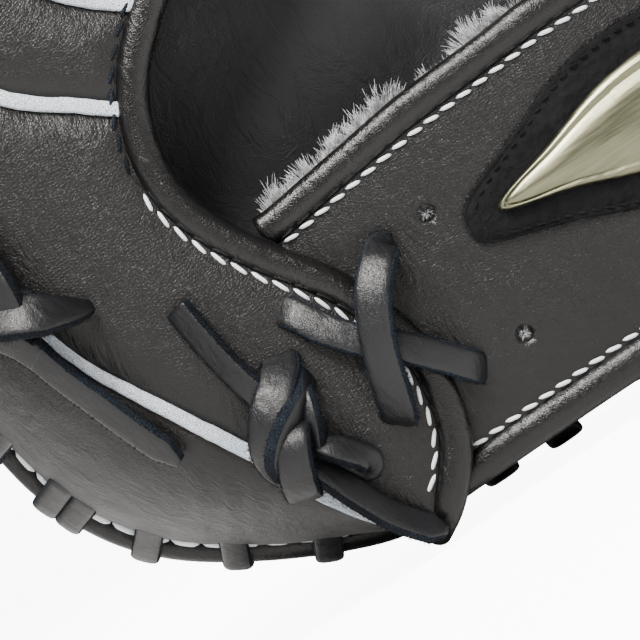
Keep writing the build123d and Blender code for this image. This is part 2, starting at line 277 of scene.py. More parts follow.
fleece_fibre = pile("fleece_fibre", (0.20, 0.20, 0.21), (0.66, 0.67, 0.69), 0.9, 0.3)
velvet = pile("black_velvet", (0.0008, 0.0008, 0.0011), (0.004, 0.004, 0.005), 0.95, 0.03)
badge_metal = bpy.data.materials.new("pale_gold")
badge_metal.use_nodes = True
tree = badge_metal.node_tree
shader = tree.nodes["Principled BSDF"]
shader.inputs["Metallic"].default_value = 1.0
where = add(tree, "ShaderNodeTexCoord").outputs["Object"]
brush = add(tree, "ShaderNodeMapping", [("Vector", where), ("Scale", (120.0, 120.0, 1800.0))]).outputs[0]
lines = add(tree, "ShaderNodeTexNoise", [("Vector", brush), ("Scale", 1.0), ("Detail", 3.0)])
tone = add(tree, "ShaderNodeMix", [("Factor", lines.outputs[0])], data_type="RGBA")
tone.inputs["A"].default_value, tone.inputs["B"].default_value = (0.10, 0.107, 0.066, 1), (0.27, 0.26, 0.175, 1)
tree.links.new(tone.outputs["Result"], shader.inputs["Base Color"])
rough = maths(tree, "ADD", maths(tree, "MULTIPLY", lines.outputs[0], 0.2), 0.22)
tree.links.new(rough, shader.inputs["Roughness"])
bump = add(tree, "ShaderNodeBump", [("Height", lines.outputs[0]), ("Distance", 0.00002)])
tree.links.new(bump.outputs[0], shader.inputs["Normal"])
print("finishes", [m.name for m in bpy.data.materials])

# %% [markdown]
# ## Making meshes
# Almost every piece is one of three things: a sheet with a thickness, a strip or roll swept along a line, or
# a row of stitches. The helpers work in millimetres in the drawing frame, with y = 0 on the rim seam.

# %% Mesh helpers
HINGE_X = 25.0


def mesh_piece(name, verts, faces, mats, face_mats=None, smooth=True):
    """A mesh object from points in millimetres."""
    data = bpy.data.meshes.new(name)
    data.from_pydata([tuple(v) for v in (np.asarray(verts, float) + SHIFT) * MM], [], faces)
    for mat in mats:
        data.materials.append(mat)
    if face_mats is not None:
        data.polygons.foreach_set("material_index", face_mats)
    data.polygons.foreach_set("use_smooth", [smooth] * len(data.polygons))
    data.validate()
    data.update()
    piece = bpy.data.objects.new(name, data)
    bpy.context.collection.objects.link(piece)
    return piece


def settle(piece, body, *nodes, slot=None, padded=None):
    """Joins a piece to its body, or only bakes its placement into its mesh when body is None, and hides what it stands
    for.
    """
    if body is None:
        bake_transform(piece)
    else:
        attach(piece, body)
    if nodes:
        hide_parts(*nodes)
    return piece


def line_through(points, count, closed=False):
    """Evenly spaced points along a smooth curve through the given ones."""
    p = np.array(points, float)
    n, out = len(p), []
    for i in range(n if closed else n - 1):
        b, c = p[i], p[(i + 1) % n]
        a = p[i - 1] if closed or i else 2 * b - c
        d = p[(i + 2) % n] if closed or i + 2 < n else 2 * c - b
        for t in np.linspace(0, 1, 10, endpoint=False):
            out.append(0.5 * (2 * b + (c - a) * t + (2 * a - 5 * b + 4 * c - d) * t**2
                              + (3 * b - a - 3 * c + d) * t**3))
    out.append(p[0] if closed else p[-1])
    return even(np.array(out), count, closed)


def even(line, count, closed=False):
    run = np.concatenate([[0], np.cumsum(np.linalg.norm(np.diff(line, axis=0), axis=1))])
    at = np.linspace(0, run[-1], count, endpoint=not closed)
    return np.stack([np.interp(at, run, line[:, k]) for k in range(line.shape[1])], 1)


def stretch(line, start, end, count):
    """The part of a line between its points nearest start and end, evenly spaced."""
    a = int(np.argmin(np.linalg.norm(line - np.array(start, float), axis=1)))
    b = int(np.argmin(np.linalg.norm(line - np.array(end, float), axis=1)))
    part = line[a:b + 1] if a < b else line[b:a + 1][::-1]
    return even(part, count)


def coons(bottom, top, left, right):
    """A grid of points filling four boundary lines: bottom and top run along u, left and right along v."""
    u = np.linspace(0, 1, len(bottom))[:, None, None]
    v = np.linspace(0, 1, len(left))[None, :, None]
    ruled = (1 - v) * bottom[:, None] + v * top[:, None] + (1 - u) * left[None] + u * right[None]
    return ruled - ((1 - u) * (1 - v) * bottom[0] + u * (1 - v) * bottom[-1] + (1 - u) * v * top[0] + u * v * top[-1])


def away(points, line):
    """Distance in x and z from each point to a line."""
    a, b = line[:-1], line[1:]
    d = b - a
    t = np.clip(((points[..., None, :] - a) * d).sum(-1) / np.maximum((d * d).sum(-1), 1e-9), 0, 1)
    return np.linalg.norm(points[..., None, :] - (a + t[..., None] * d), axis=-1).min(-1)


def rough_field(points, scale, seed=0.0):
    """Smooth noise between about -1 and 1 at each point, with that many millimetres to a wave."""
    flat = points.reshape(-1, points.shape[-1])
    values = [noise.noise(Vector((p[0] / scale + seed, p[-1] / scale - seed, (p[1] if len(p) > 2 else 0) / scale)))
              for p in flat]
    return np.array(values).reshape(points.shape[:-1])


def grid_normals(grid, outward):
    """Unit normals of a grid of points, turned to the side that outward points to."""
    du, dv = np.gradient(grid, axis=0), np.gradient(grid, axis=1)
    n = np.cross(du, dv)
    n /= np.maximum(np.linalg.norm(n, axis=-1, keepdims=True), 1e-9)
    return n * (1 if (n * np.array(outward)).sum() > 0 else -1)


def sheet_piece(name, grid, outward, thick, mats, wrap_u=False):
    """A sheet with thickness: the grid is its outer face."""
    n = grid_normals(grid, outward)
    nu, nv = grid.shape[:2]
    verts = np.concatenate([grid.reshape(-1, 3), (grid - n * thick).reshape(-1, 3)])
    size, faces, kinds = nu * nv, [], []
    last = nu if wrap_u else nu - 1
    for i in range(last):
        k = (i + 1) % nu
        for j in range(nv - 1):
            a, b, c, d = i * nv + j, k * nv + j, k * nv + j + 1, i * nv + j + 1
            faces += [(a, b, c, d), (a + size, d + size, c + size, b + size)]
    edge = [(i * nv, ((i + 1) % nu) * nv) for i in range(last)]
    edge += [(((i + 1) % nu) * nv + nv - 1, i * nv + nv - 1) for i in range(last)]
    if not wrap_u:
        edge += [(j + 1, j) for j in range(nv - 1)]
        edge += [((nu - 1) * nv + j, (nu - 1) * nv + j + 1) for j in range(nv - 1)]
    faces += [(b, a, a + size, b + size) for a, b in edge]
    piece = mesh_piece(name, verts, faces, mats)
    fix_normals(piece)
    return piece


def fix_normals(piece):
    import bmesh
    bm = bmesh.new()
    bm.from_mesh(piece.data)
    bmesh.ops.recalc_face_normals(bm, faces=bm.faces)
    bm.to_mesh(piece.data)
    bm.free()


def oval(width, thick, power=2.0, count=16):
    """A closed section, round at power 2 and nearly square at 6."""
    a = np.linspace(0, 2 * math.pi, count, endpoint=False)
    c, s = np.cos(a), np.sin(a)
    return np.stack([width / 2 * np.sign(c) * abs(c) ** (2 / power), thick / 2 * np.sign(s) * abs(s) ** (2 / power)], 1)


def sweep_data(path, section, ups, closed=False, sizes=None):
    """Points and faces of a section swept along a path; ups points along the section's thickness."""
    path = np.asarray(path, float)
    n, m = len(path), len(section)
    ups = np.broadcast_to(np.asarray(ups, float), path.shape)
    ahead = np.roll(path, -1, 0) - np.roll(path, 1, 0)
    if not closed:
        ahead[0], ahead[-1] = path[1] - path[0], path[-1] - path[-2]
    ahead /= np.linalg.norm(ahead, axis=1, keepdims=True)
    side = np.cross(ahead, ups)
    side /= np.maximum(np.linalg.norm(side, axis=1, keepdims=True), 1e-9)
    ups = np.cross(side, ahead)
    sizes = np.ones((n, 2)) if sizes is None else np.asarray(sizes, float)
    verts = (path[:, None] + side[:, None] * (section[None, :, :1] * sizes[:, None, :1])
             + ups[:, None] * (section[None, :, 1:] * sizes[:, None, 1:]))
    faces = []
    for i in range(n if closed else n - 1):
        k = (i + 1) % n
        faces += [(i * m + j, i * m + (j + 1) % m, k * m + (j + 1) % m, k * m + j) for j in range(m)]
    if not closed:
        faces += [tuple(range(m - 1, -1, -1)), tuple((n - 1) * m + j for j in range(m))]
    return verts.reshape(-1, 3), faces


def swept_piece(name, path, section, ups, mats, closed=False, sizes=None):
    verts, faces = sweep_data(path, section, ups, closed, sizes)
    piece = mesh_piece(name, verts, faces, mats)
    fix_normals(piece)
    return piece


def joined(name, chunks, mats, kinds=None):
    """One object from several (points, faces) chunks."""
    verts, faces, marks, base = [], [], [], 0
    for k, (v, f) in enumerate(chunks):
        verts.append(v)
        faces += [tuple(i + base for i in face) for face in f]
        marks += list(kinds[k]) if kinds else [0] * len(f)
        base += len(v)
    piece = mesh_piece(name, np.concatenate(verts), faces, mats, marks)
    fix_normals(piece)
    return piece


LACE_WIDE, LACE_THICK = 6.2, 2.5


def lace_chunk(path, ups, width=LACE_WIDE, thick=LACE_THICK, point=0, power=3.6):
    """A flat lace: its wide faces are smooth hide and its two narrow sides are the fuzzy cut."""
    section = oval(width, thick, power, 20)
    sizes = np.ones((len(path), 2))
    sizes[:, 0] += 0.03 * rough_field(np.asarray(path, float), 5.0, 3.0)
    if point:
        sizes[-point:, 0] *= np.linspace(1, 0.35, point)
    verts, faces = sweep_data(path, section, ups, sizes=sizes)
    kinds = []
    for face in faces:
        if len(face) > 4:
            kinds.append(1)
            continue
        j = face[0] % 20
        kinds.append(1 if j in (18, 19, 0, 1, 8, 9, 10, 11) else 0)
    return verts, faces, kinds


def lace_piece(name, laces, fuzz=0):
    """One object from several laces, with that many loose fibres to a millimetre of each cut side."""
    chunks = [(v, f) for v, f, _ in laces]
    kinds = [k for _, _, k in laces]
    pick = random.Random(len(name))
    for verts, _, _ in laces if fuzz else ():
        rings = verts.reshape(-1, 20, 3)
        for _ in range(int(fuzz * 2 * np.linalg.norm(np.diff(rings.mean(1), axis=0), axis=1).sum())):
            i, j = pick.randrange(1, len(rings) - 1), pick.choice((18, 19, 0, 1, 2, 8, 9, 10, 11, 12))
            base = rings[i, j] * 0.97 + rings[i].mean(0) * 0.03
            out = (rings[i, j] - rings[i].mean(0)) / 3.0
            tip = base + out * pick.uniform(0.2, 0.5) + [pick.uniform(-0.45, 0.45) for _ in range(3)]
            chunks.append(sweep_data(np.array([base, (base + tip) / 2 + out * 0.1, tip]), oval(0.13, 0.13, 2.0, 3),
                                     (0.1, -1, 0.12), sizes=[(1, 1), (0.8, 0.8), (0.3, 0.3)]))
            kinds.append([1] * len(chunks[-1][1]))
    return joined(name, chunks, [lace_face, lace_cut], kinds)


def stitch_chunks(line, ups, pitch=3.8, length=3.1, wide=0.8, slant=0.2):
    """Short fat stitches sunk a little into the hide, along a line of points."""
    run = np.linalg.norm(np.diff(line, axis=0), axis=1).sum()
    count = max(2, int(round(run / pitch)))
    middle = even(line, count * 8 + 1)
    upward = even(np.broadcast_to(np.asarray(ups, float), line.shape) + line * 0, count * 8 + 1) if np.ndim(ups) > 1 \
        else np.broadcast_to(np.asarray(ups, float), middle.shape)
    chunks = []
    for i in range(count):
        k = i * 8 + 4
        ahead = middle[min(k + 2, len(middle) - 1)] - middle[k - 2]
        ahead /= np.linalg.norm(ahead)
        up = upward[k] / np.linalg.norm(upward[k])
        across = np.cross(ahead, up)
        ts = np.linspace(-1, 1, 7)
        path = [middle[k] + ahead * t * length / 2 + across * t * slant * length / 2
                + up * (0.32 * (1 - t**4) - 0.22) for t in ts]
        sizes = [(max(0.25, (1 - abs(t) ** 5)),) * 2 for t in ts]
        chunks.append(sweep_data(path, oval(wide, wide * 0.8, 2.0, 8), up, sizes=sizes))
    return chunks


print("helpers ready")

# %% [markdown]
# ## The drawing lines
# Everything hangs on a few lines: the rim seam, the side seam inside it, the edges of the hand opening and the
# seams between the fingers. The rim and side seam are chains of arcs, each tangent to the last.

# %% Lines of the mitt
RIM_TURNS = [(130.5, 90), (620, 9), (50, 46), (150, 10), (None, 25)]
SIDE_TURNS = [(106.5, 90), (815, 5.3), (45, 22.7), (2000, 1), (None, 61)]


def arc_line(turns, top_z, count):
    """Points (x, z) of a mirrored chain of arcs, from the top middle over the finger side and back."""
    x, z, heading, half = 0.0, top_z, math.pi, [(0.0, top_z)]
    for radius, turn in turns:
        radius = radius or abs(x) / math.sin(math.radians(turn))
        cx, cz = x - radius * math.sin(heading), z + radius * math.cos(heading)
        for step in range(1, 25):
            a = heading + math.radians(turn) * step / 24
            half.append((cx + radius * math.sin(a), cz - radius * math.cos(a)))
        heading += math.radians(turn)
        x, z = half[-1]
    half = np.array(half)
    return even(np.vstack([half, half[-2::-1] * (-1, 1)]), count, True)


RIM = arc_line(RIM_TURNS, 285.0, 720)
SIDE_SEAM = arc_line(SIDE_TURNS, 261.0, 720)
drop = 3.0 * np.clip((36 - SIDE_SEAM[:, 1]) / 24, 0, 1) * (abs(SIDE_SEAM[:, 0]) > 30)
SIDE_SEAM += np.stack([np.sign(SIDE_SEAM[:, 0]) * 0.6 * drop, -0.8 * drop], 1)
FINGER_EDGE = line_through([(-63.5, 4.2), (-58.6, 7.4), (-53.2, 13), (-49.7, 19), (-48.2, 25), (-47.4, 32), (-49, 41),
                            (-52, 50), (-56.3, 57.5), (-61, 64.5), (-66, 73.5), (-69.1, 84.3), (-67.9, 94.5),
                            (-63.8, 103.5), (-57.8, 110.4), (-48, 118), (-29.5, 129), (-14.5, 138)], 260)
THUMB_EDGE = line_through([(61.5, 3), (56, 8), (53, 20), (53, 34), (57, 50), (64, 65), (68, 80), (67, 95), (62, 110),
                           (54, 122), (46, 131), (40.5, 138)], 220)
INDEX_WALL = line_through([(-14.5, 138), (-15.5, 200), (-21, 258)], 80)
THUMB_WALL = line_through([(40.5, 138), (52, 196), (65.5, 238)], 80)
SEAMS = {"index_middle": line_through([(-32.5, 127), (-47, 152), (-58, 188), (-68, 237)], 80),
         "middle_ring": line_through([(-52, 114.5), (-66, 127.5), (-79, 151), (-94, 200)], 80),
         "ring_little": line_through([(-65.5, 100.5), (-74, 107.4), (-85, 117), (-96, 138), (-105.5, 169)], 80)}
print("rim", round(np.linalg.norm(np.diff(RIM, axis=0), axis=1).sum()), "mm round")


def heel_lift(x, z):
    """How far the heel is hitched up behind the finger end of the strap."""
    edge = 1 / (1 + np.exp(-(x + 62.8) / 2.6)) / (1 + np.exp((x + 8) / 4))
    return 3.6 * edge * np.exp(-((z / 16) ** 2))


def on_floor(points, clear):
    """Lifts whatever would reach below the floor, with a soft corner."""
    points = np.array(points, float)
    soft = 2.0
    t = (points[..., 2] - 0.8 - clear) / soft
    points[..., 2] = 0.8 + clear + soft * np.where(t > 20, t, np.log1p(np.exp(np.minimum(t, 20))))
    points[..., 2] += heel_lift(points[..., 0], points[..., 2])
    return points


# %% [markdown]
# ## The finger backs
# Each finger has its own panel of hide, pulled over padding and sewn to the next with a white welt between. A
# panel is filled in between its four edges, then lifted off the seam line so it rises quickly beside each
# seam and stays nearly flat in the middle.

# %% Finger and thumb panels
SEAM_Y, CROWN = -45.6, 2.9


def panel_grid(bottom, top, left, right, edges, crown=CROWN, seed=1.0):
    flat = coons(bottom, top, left, right)
    gap = np.min([away(flat, edge) for edge in edges], axis=0)
    lift = crown * (1 - np.exp(-gap / 3.6)) + 0.55 * rough_field(flat, 26.0, seed) * (1 - np.exp(-gap / 8))
    lift += 0.16 * rough_field(flat * (1, 0.6), 7.0, seed + 4) * (1 - np.exp(-gap / 4))
    return np.stack([flat[..., 0], SEAM_Y - lift, flat[..., 1]], -1)


def finger_panel(name, edge_from, edge_to, seam_from, seam_to, left, right, rows=64, cols=60, seed=1.0):
    bottom = stretch(FINGER_EDGE, edge_from, edge_to, rows)
    top = stretch(SIDE_SEAM, seam_from, seam_to, rows)
    left, right = (np.array([bottom[k], top[k]]) if line is None else line for line, k in ((left, 0), (right, -1)))
    left, right = even(left, cols), even(right, cols)
    bottom[0], bottom[-1], top[0], top[-1] = left[0], right[0], left[-1], right[-1]
    grid = panel_grid(bottom, top, left, right, [bottom, top, left, right], seed=seed)
    return settle(sheet_piece(name, grid, (0, -1, 0), 2.2, [black_hide]), "finger_side", name, slot="black_leather")


PANELS = [("little_stall", (-63.5, 4.2), (-65.5, 100.5), (-66, 4), (-105.5, 169), None, "ring_little", 96),
          ("ring_stall", (-65.5, 100.5), (-52, 114.5), (-105.5, 169), (-94, 200), "ring_little", "middle_ring", 30),
          ("middle_stall", (-52, 114.5), (-32.5, 127), (-94, 200), (-68, 237), "middle_ring", "index_middle", 36),
          ("index_stall", (-32.5, 127), (-14.5, 138), (-68, 237), (-21, 258), "index_middle", "wall", 40)]
for k, (name, e0, e1, s0, s1, left, right, rows) in enumerate(PANELS):
    sides = [None if s is None else INDEX_WALL if s == "wall" else SEAMS[s] for s in (left, right)]
    finger_panel(name, e0, e1, s0, s1, sides[0], sides[1], rows=rows, cols=56, seed=2.0 + 3 * k)
bottom = stretch(THUMB_EDGE, (61.5, 3), (40.5, 138), 110)
top = stretch(SIDE_SEAM, (66, 4), (65.5, 238), 110)
left, right = even(np.array([bottom[0], top[0]]), 60), even(THUMB_WALL, 60)
bottom[-1], top[-1] = right[0], right[-1]
thumb_grid = panel_grid(bottom, top, left, right, [bottom, top, right], crown=3.4, seed=17.0)
settle(sheet_piece("thumb_stall", thumb_grid, (0, -1, 0), 2.2, [black_hide]), "thumb_side", "thumb_stall",
       slot="black_leather")
print("panels", len(PANELS) + 1)

# %% [markdown]
# ## The side panels
# Between the side seam and the rim runs one long band of hide that falls away from the back to the rim. Its
# cross-section is a soft quarter turn, so it is made as a grid: along the rim one way, down the side the other.

# %% Side panels
RIM_Y = -3.6


def rim_out(outset):
    """The rim line moved outwards."""
    ahead = np.roll(RIM, -1, 0) - np.roll(RIM, 1, 0)
    out = np.stack([-ahead[:, 1], ahead[:, 0]], 1)
    out /= np.linalg.norm(out, axis=1, keepdims=True)
    if (out * (RIM - (0, 140))).sum() < 0:
        out = -out
    return RIM + out * outset


def side_grid(seam, rim, seed):
    angle = np.linspace(0, math.pi / 2, 30)[None, :]
    fall, stay = np.sin(angle) ** 1.25, np.cos(angle) ** 1.25
    x = seam[:, :1] + (rim[:, :1] - seam[:, :1]) * fall
    z = seam[:, 1:] + (rim[:, 1:] - seam[:, 1:]) * fall
    y = RIM_Y + (SEAM_Y - RIM_Y) * stay + 0 * x
    grid = np.stack([x, y, z], -1)
    gap = np.linalg.norm(grid - grid[:, :1], axis=-1)
    rest = np.linalg.norm(grid - grid[:, -1:], axis=-1)
    lift = 2.0 * (1 - np.exp(-gap / 3.4)) * (1 - np.exp(-rest / 2.5))
    lift += (0.7 * rough_field(grid, 24.0, seed) + 0.28 * rough_field(grid, 8.0, seed + 2)) * (1 - np.exp(-gap / 6))
    pinch = np.exp(-(((grid[..., 0] + 88) / 13) ** 2 + ((grid[..., 2] - 33) / 13) ** 2))
    across = grid[..., 0] * 0.85 - grid[..., 2] * 0.52
    lift += 0.35 * pinch * np.sin(across * 1.25 + 2 * rough_field(grid, 12.0, seed + 5)) * (1 - np.exp(-gap / 4))
    return on_floor(grid + grid_normals(grid, (0, -1, 0)) * lift[..., None], 0.0)


finger_side = side_grid(stretch(SIDE_SEAM, (-66, 4), (-21, 258), 170), stretch(rim_out(-2.3), (-61, 3), (-22, 282), 170), 5.0)
settle(sheet_piece("finger_side_panel", finger_side, (0, -1, 0), 2.2, [black_hide]), "finger_side",
       "finger_side_panel", slot="black_leather")
thumb_side = side_grid(stretch(SIDE_SEAM, (66, 4), (65.5, 238), 150), stretch(rim_out(-2.3), (61, 3), (74, 262), 150), 9.0)
settle(sheet_piece("thumb_side_panel", thumb_side, (0, -1, 0), 2.2, [black_hide]), "thumb_side",
       "thumb_side_panel", slot="black_leather")


def web_wall(name, wall, end_row, body, bow):
    """The side of a finger or the thumb that faces the web."""
    top = np.stack([wall[:, 0], np.full(len(wall), SEAM_Y), wall[:, 1]], 1)
    top = even(np.vstack([top, np.minimum(end_row, (999, RIM_Y - 1.2, 999))[1:]]), 90)
    across = np.linspace(0, 1, 26)[None, :, None]
    foot = top * (1, 0, 1) + (0, RIM_Y, 0)
    grid = top[:, None] * (1 - across) + foot[:, None] * across
    bulge = np.sin(across[..., 0] * math.pi) * bow + 0.5 * rough_field(grid, 20.0, 3.0)
    grid[..., 0] += bulge
    return settle(sheet_piece(name, grid, (math.copysign(1, bow), 0, 0), 2.0, [black_hide]), body, name,
                  slot="black_leather")


web_wall("index_side_wall", INDEX_WALL, finger_side[-1], "finger_side", 2.6)
web_wall("thumb_side_wall", THUMB_WALL, thumb_side[-1], "thumb_side", -2.6)
print("side panels and web walls")

# %% [markdown]
# ## Walls between the fingers, and the finger loops
# Under each seam a wall of lining hide runs down to the palm, so each finger has its own stall. Two short
# loops hold the little finger and the thumb.

# %% Dividers and loops
for name, seam in SEAMS.items():
    line = even(seam, 40)[3:-2]
    down = np.linspace(0, 1, 16)[None, :]
    x, z = line[:, :1] + 0 * down, line[:, 1:] + 0 * down
    grid = np.stack([x, -43.0 + 39.2 * down + 0 * x, z], -1)
    grid[..., 0] += 1.2 * np.sin(down * math.pi) * np.sin(line[:, 1:] / 9.0)
    settle(sheet_piece("divider_" + name, grid, (-1, 0, 0), 1.8, [lining_hide]), "finger_side", "divider_" + name,
           slot="lining_leather")
for name, x, body in (("little_finger_loop", -103, "finger_side"), ("thumb_loop", 88, "thumb_side")):
    turn = np.linspace(math.pi, 2 * math.pi, 28)
    path = np.stack([x + 14 * np.cos(turn), -3.8 + 14 * np.sin(turn), 112 + 0.6 * np.sin(turn * 3)], 1)
    ups = np.stack([np.cos(turn), np.sin(turn), 0 * turn], 1)
    settle(swept_piece(name, path, oval(12, 2.0, 5.0, 20), ups, [lining_hide]), body, name, slot="lining_leather")
print("dividers", len(SEAMS))

# %% [markdown]
# ## White welts
# A welt is a narrow strip of white hide caught in the seam, raw edge outwards, so its width wavers a little. It
# is swept along the seam, standing proud of the dip between two panels.

# %% Welts
def welt(name, line, body, y=SEAM_Y - 1.0, width=2.9, tall=2.6, nodes=None, mats=None, seed=0.0, taper=False):
    count = max(12, int(np.linalg.norm(np.diff(line, axis=0), axis=1).sum() / 1.1))
    line = even(line, count)
    if line.shape[1] == 2:
        line = np.stack([line[:, 0], np.full(count, y), line[:, 1]], 1)
    waver = 1 + 0.10 * rough_field(line, 2.6, seed) + 0.08 * rough_field(line, 11.0, seed + 1)
    sizes = np.stack([waver, 1 + 0.06 * rough_field(line, 5.0, seed + 2)], 1)
    if taper:
        sizes[:, 0] *= np.interp(line[:, 2], (45, 76, 120), (1.0, 0.62, 0.9))
    line = line + np.stack([0.12 * rough_field(line, 6.0, seed + 3), 0 * waver, 0.12 * rough_field(line, 6.0, seed + 4)], 1)
    piece = swept_piece(name, line, oval(width, tall, 4.5, 16), (0, -1, 0), mats or [white_hide], sizes=sizes)
    return settle(piece, body, *(nodes or [name]), slot="white_welt")


for k, (name, seam) in enumerate(SEAMS.items()):
    welt("welt_" + name, seam, "finger_side", seed=10.0 + k)
side_line = stretch(SIDE_SEAM, (-66, 4), (-21, 258), 200)
welt("welt_finger_side", side_line, "finger_side", seed=21.0, taper=True)
welt("welt_thumb_side", stretch(SIDE_SEAM, (66, 4), (65.5, 238), 180), "thumb_side", seed=27.0)
print("welts", len(SEAMS) + 2)

# %% [markdown]
# ## Rolled edges of the hand opening
# The edge of each back is bound with a roll of thinner hide. Its stitches run just outside the roll, and the
# roll carries on round the web side of the finger.

# %% Rolled edges and their stitches
ROLL_WIDE, ROLL_TALL, ROLL_Y = 6.4, 6.0, -46.3


def edge_roll(name, edge, wall, body, sign):
    line = np.vstack([edge, wall[1:]])
    count = int(np.linalg.norm(np.diff(line, axis=0), axis=1).sum() / 1.6)
    line = even(line, count)
    y = ROLL_Y + 0.25 * rough_field(line, 30.0, 6.0) + 7.0 * np.exp(-1.6 * np.arange(count) / 3.0)
    path = np.stack([line[:, 0], y, line[:, 1]], 1)
    sizes = 1 + 0.05 * np.stack([rough_field(path, 16.0, 1.0), rough_field(path, 13.0, 8.0)], 1)
    piece = swept_piece(name, path, oval(ROLL_WIDE, ROLL_TALL, 2.3, 20), (0, -1, 0), [roll_hide], sizes=sizes)
    settle(piece, body, name, slot="black_leather")
    ahead = np.gradient(line, axis=0)
    out = np.stack([ahead[:, 1], -ahead[:, 0]], 1) / np.linalg.norm(ahead, axis=1, keepdims=True) * sign
    seam = line + out * (ROLL_WIDE / 2 + 0.75)
    row = np.stack([seam[:, 0], np.full(count, SEAM_Y - 2.0), seam[:, 1]], 1)[4:-2]
    for mark, part, mat, slot in (("white", row[row[:, 2] < 88], thread, "white_welt"),
                                  ("dark", row[row[:, 2] > 90], lace_cut, "lace_leather")):
        stitches = joined(f"{name}_{mark}_stitches", stitch_chunks(part, (0, -1, 0), 4.3, 3.7, 0.8, 0.2), [mat])
        settle(stitches, body, slot=slot)


edge_roll("finger_back_binding", FINGER_EDGE, INDEX_WALL, "finger_side", -1)
edge_roll("thumb_back_binding", THUMB_EDGE, THUMB_WALL, "thumb_side", 1)
print("rolled edges")

# %% [markdown]
# ## The rim
# Palm and back meet in a thick roll all round. One long lace is whipped over it, in and out of the hide, and a
# white strip shows between the roll and the side panel.

# %% Rim roll, white strip and whipped lace
ring = rim_out(0.3)[::2]
path = on_floor(np.stack([ring[:, 0], 0 * ring[:, 0], ring[:, 1]], 1), 2.9)
sizes = 1 + 0.05 * np.stack([rough_field(path, 14.0, 2.0), rough_field(path, 12.0, 7.0)], 1)
settle(swept_piece("rim_roll", path, oval(5.3, 5.3, 2.3, 18), (0, -1, 0), [roll_hide], True, sizes), None,
       "rim_roll_finger_side", "rim_roll_thumb_side", slot="black_leather")
for name, start, end in (("rim_white_strip_finger", (-61, 3), (-22, 282)), ("rim_white_strip_thumb", (61, 3), (74, 262))):
    line = stretch(rim_out(-1.2), start, end, 320)
    row = on_floor(np.stack([line[:, 0], np.full(len(line), -6.2), line[:, 1]], 1), 0.6)
    body = "finger_side" if start[0] < 0 else "thumb_side"
    piece = joined(name, stitch_chunks(row, (0, -1, 0), 6.0, 5.5, 1.8, 0.05), [thread])
    settle(piece, body, slot="white_welt")

draw = random.Random(11)
WRAP = np.array([(-5.6, -14.6), (-4.2, -15.2), (-2.2, -12.0), (0.6, -7.4), (2.8, -3.0), (3.0, 1.8), (2.2, 5.6),
                 (0.8, 9.8), (-0.8, 12.6), (-3.6, 14.6)])


def rim_wraps():
    start = int(np.argmin(np.linalg.norm(RIM - (-81.4, 15.3), axis=1)))
    steps = np.linalg.norm(np.roll(RIM, -1, 0) - RIM, axis=1)
    pitch_count = int(round(17.6 / steps.mean()))
    out = (rim_out(1.0) - RIM)
    laces = []
    for back in range(0, len(RIM) - pitch_count // 2, pitch_count):
        k = (start - back) % len(RIM)
        x, z = RIM[k]
        if z < 10:
            continue
        ahead = RIM[(k + 1) % len(RIM)] - RIM[k - 1]
        ahead = ahead / np.linalg.norm(ahead)
        lean = draw.uniform(-0.16, 0.16)
        shifts = [0.0] if back != 3 * pitch_count else [-3.2, 2.2]
        for shift in shifts:
            points = [(x + out[k, 0] * o + ahead[0] * (shift + lean * y * 0.5), y,
                       z + out[k, 1] * o + ahead[1] * (shift + lean * y * 0.5)) for o, y in WRAP]
            line = line_through(points, 26)
            ups = np.stack([out[k, 0] * np.cos(line[:, 1] / 11), line[:, 1] / 9, out[k, 1] * np.cos(line[:, 1] / 11)], 1)
            laces.append(lace_chunk(line, ups, width=5.8 + draw.uniform(-0.4, 0.4), thick=2.9, power=3.0))
    return laces


wraps = rim_wraps()
settle(lace_piece("rim_lace", wraps), None, "rim_lace_finger_side", "rim_lace_thumb_side", slot="lace_leather")
print("rim wraps", len(wraps))

# %% [markdown]
# ## The wrist strap
# The strap is a flat hide band over fleece. Its outline in plan is a nearly flat arc over the wrist and a tight
# one about the hinge. Two spare lace holes are punched through it, and both edges are bound and stitched.

# %% Strap
WRIST_RADIUS, THUMB_RADIUS = 600.0, 43.0
STRAP_LOW, STRAP_HIGH = 6.8, 69.8


def strap_plan(offset, count=110):
    """Points (x, y) and outward normals of the strap, moved inwards by offset."""
    start = math.asin((-59.0 - HINGE_X) / WRIST_RADIUS)
    a = np.linspace(start, 0, 60)
    wrist = np.stack([HINGE_X + WRIST_RADIUS * np.sin(a), -48 + WRIST_RADIUS * (1 - np.cos(a))], 1)
    b = np.radians(np.linspace(-90, -33, 40))[1:]
    thumb = np.stack([HINGE_X + THUMB_RADIUS * np.cos(b), -5 + THUMB_RADIUS * np.sin(b)], 1)
    line = even(np.vstack([wrist, thumb]), count)
    ahead = np.gradient(line, axis=0)
    out = np.stack([ahead[:, 1], -ahead[:, 0]], 1) / np.linalg.norm(ahead, axis=1, keepdims=True)
    return line - out * offset, out


def strap_rise(x, z):
    """The strap is widest over the wrist: how far its upper part rises above a straight band."""
    return np.interp(x, (-56, -25, 4, 25, 45, 70), (1.5, 5.2, 6.9, 6.4, 3.5, 1.0)) * np.clip((z - 6.8) / 63, 0, 1.1)


def strap_grid(offset, z_low, z_high, rows=44, crown=0.9, seed=2.0):
    plan, out = strap_plan(offset)
    v = np.linspace(0, 1, rows)[None, :]
    z = z_low + (z_high - z_low) * v + 0 * plan[:, :1]
    grid = np.stack([plan[:, :1] + 0 * z, plan[:, 1:] + 0 * z, z], -1)
    lift = crown * (1 - (2 * v - 1) ** 4) + 0.35 * rough_field(grid, 22.0, seed) + 0.1 * rough_field(grid, 7.0, seed + 1)
    grid[..., 2] += strap_rise(grid[..., 0], grid[..., 2])
    grid[..., 0] += out[:, :1] * lift
    grid[..., 1] += out[:, 1:] * lift
    return grid


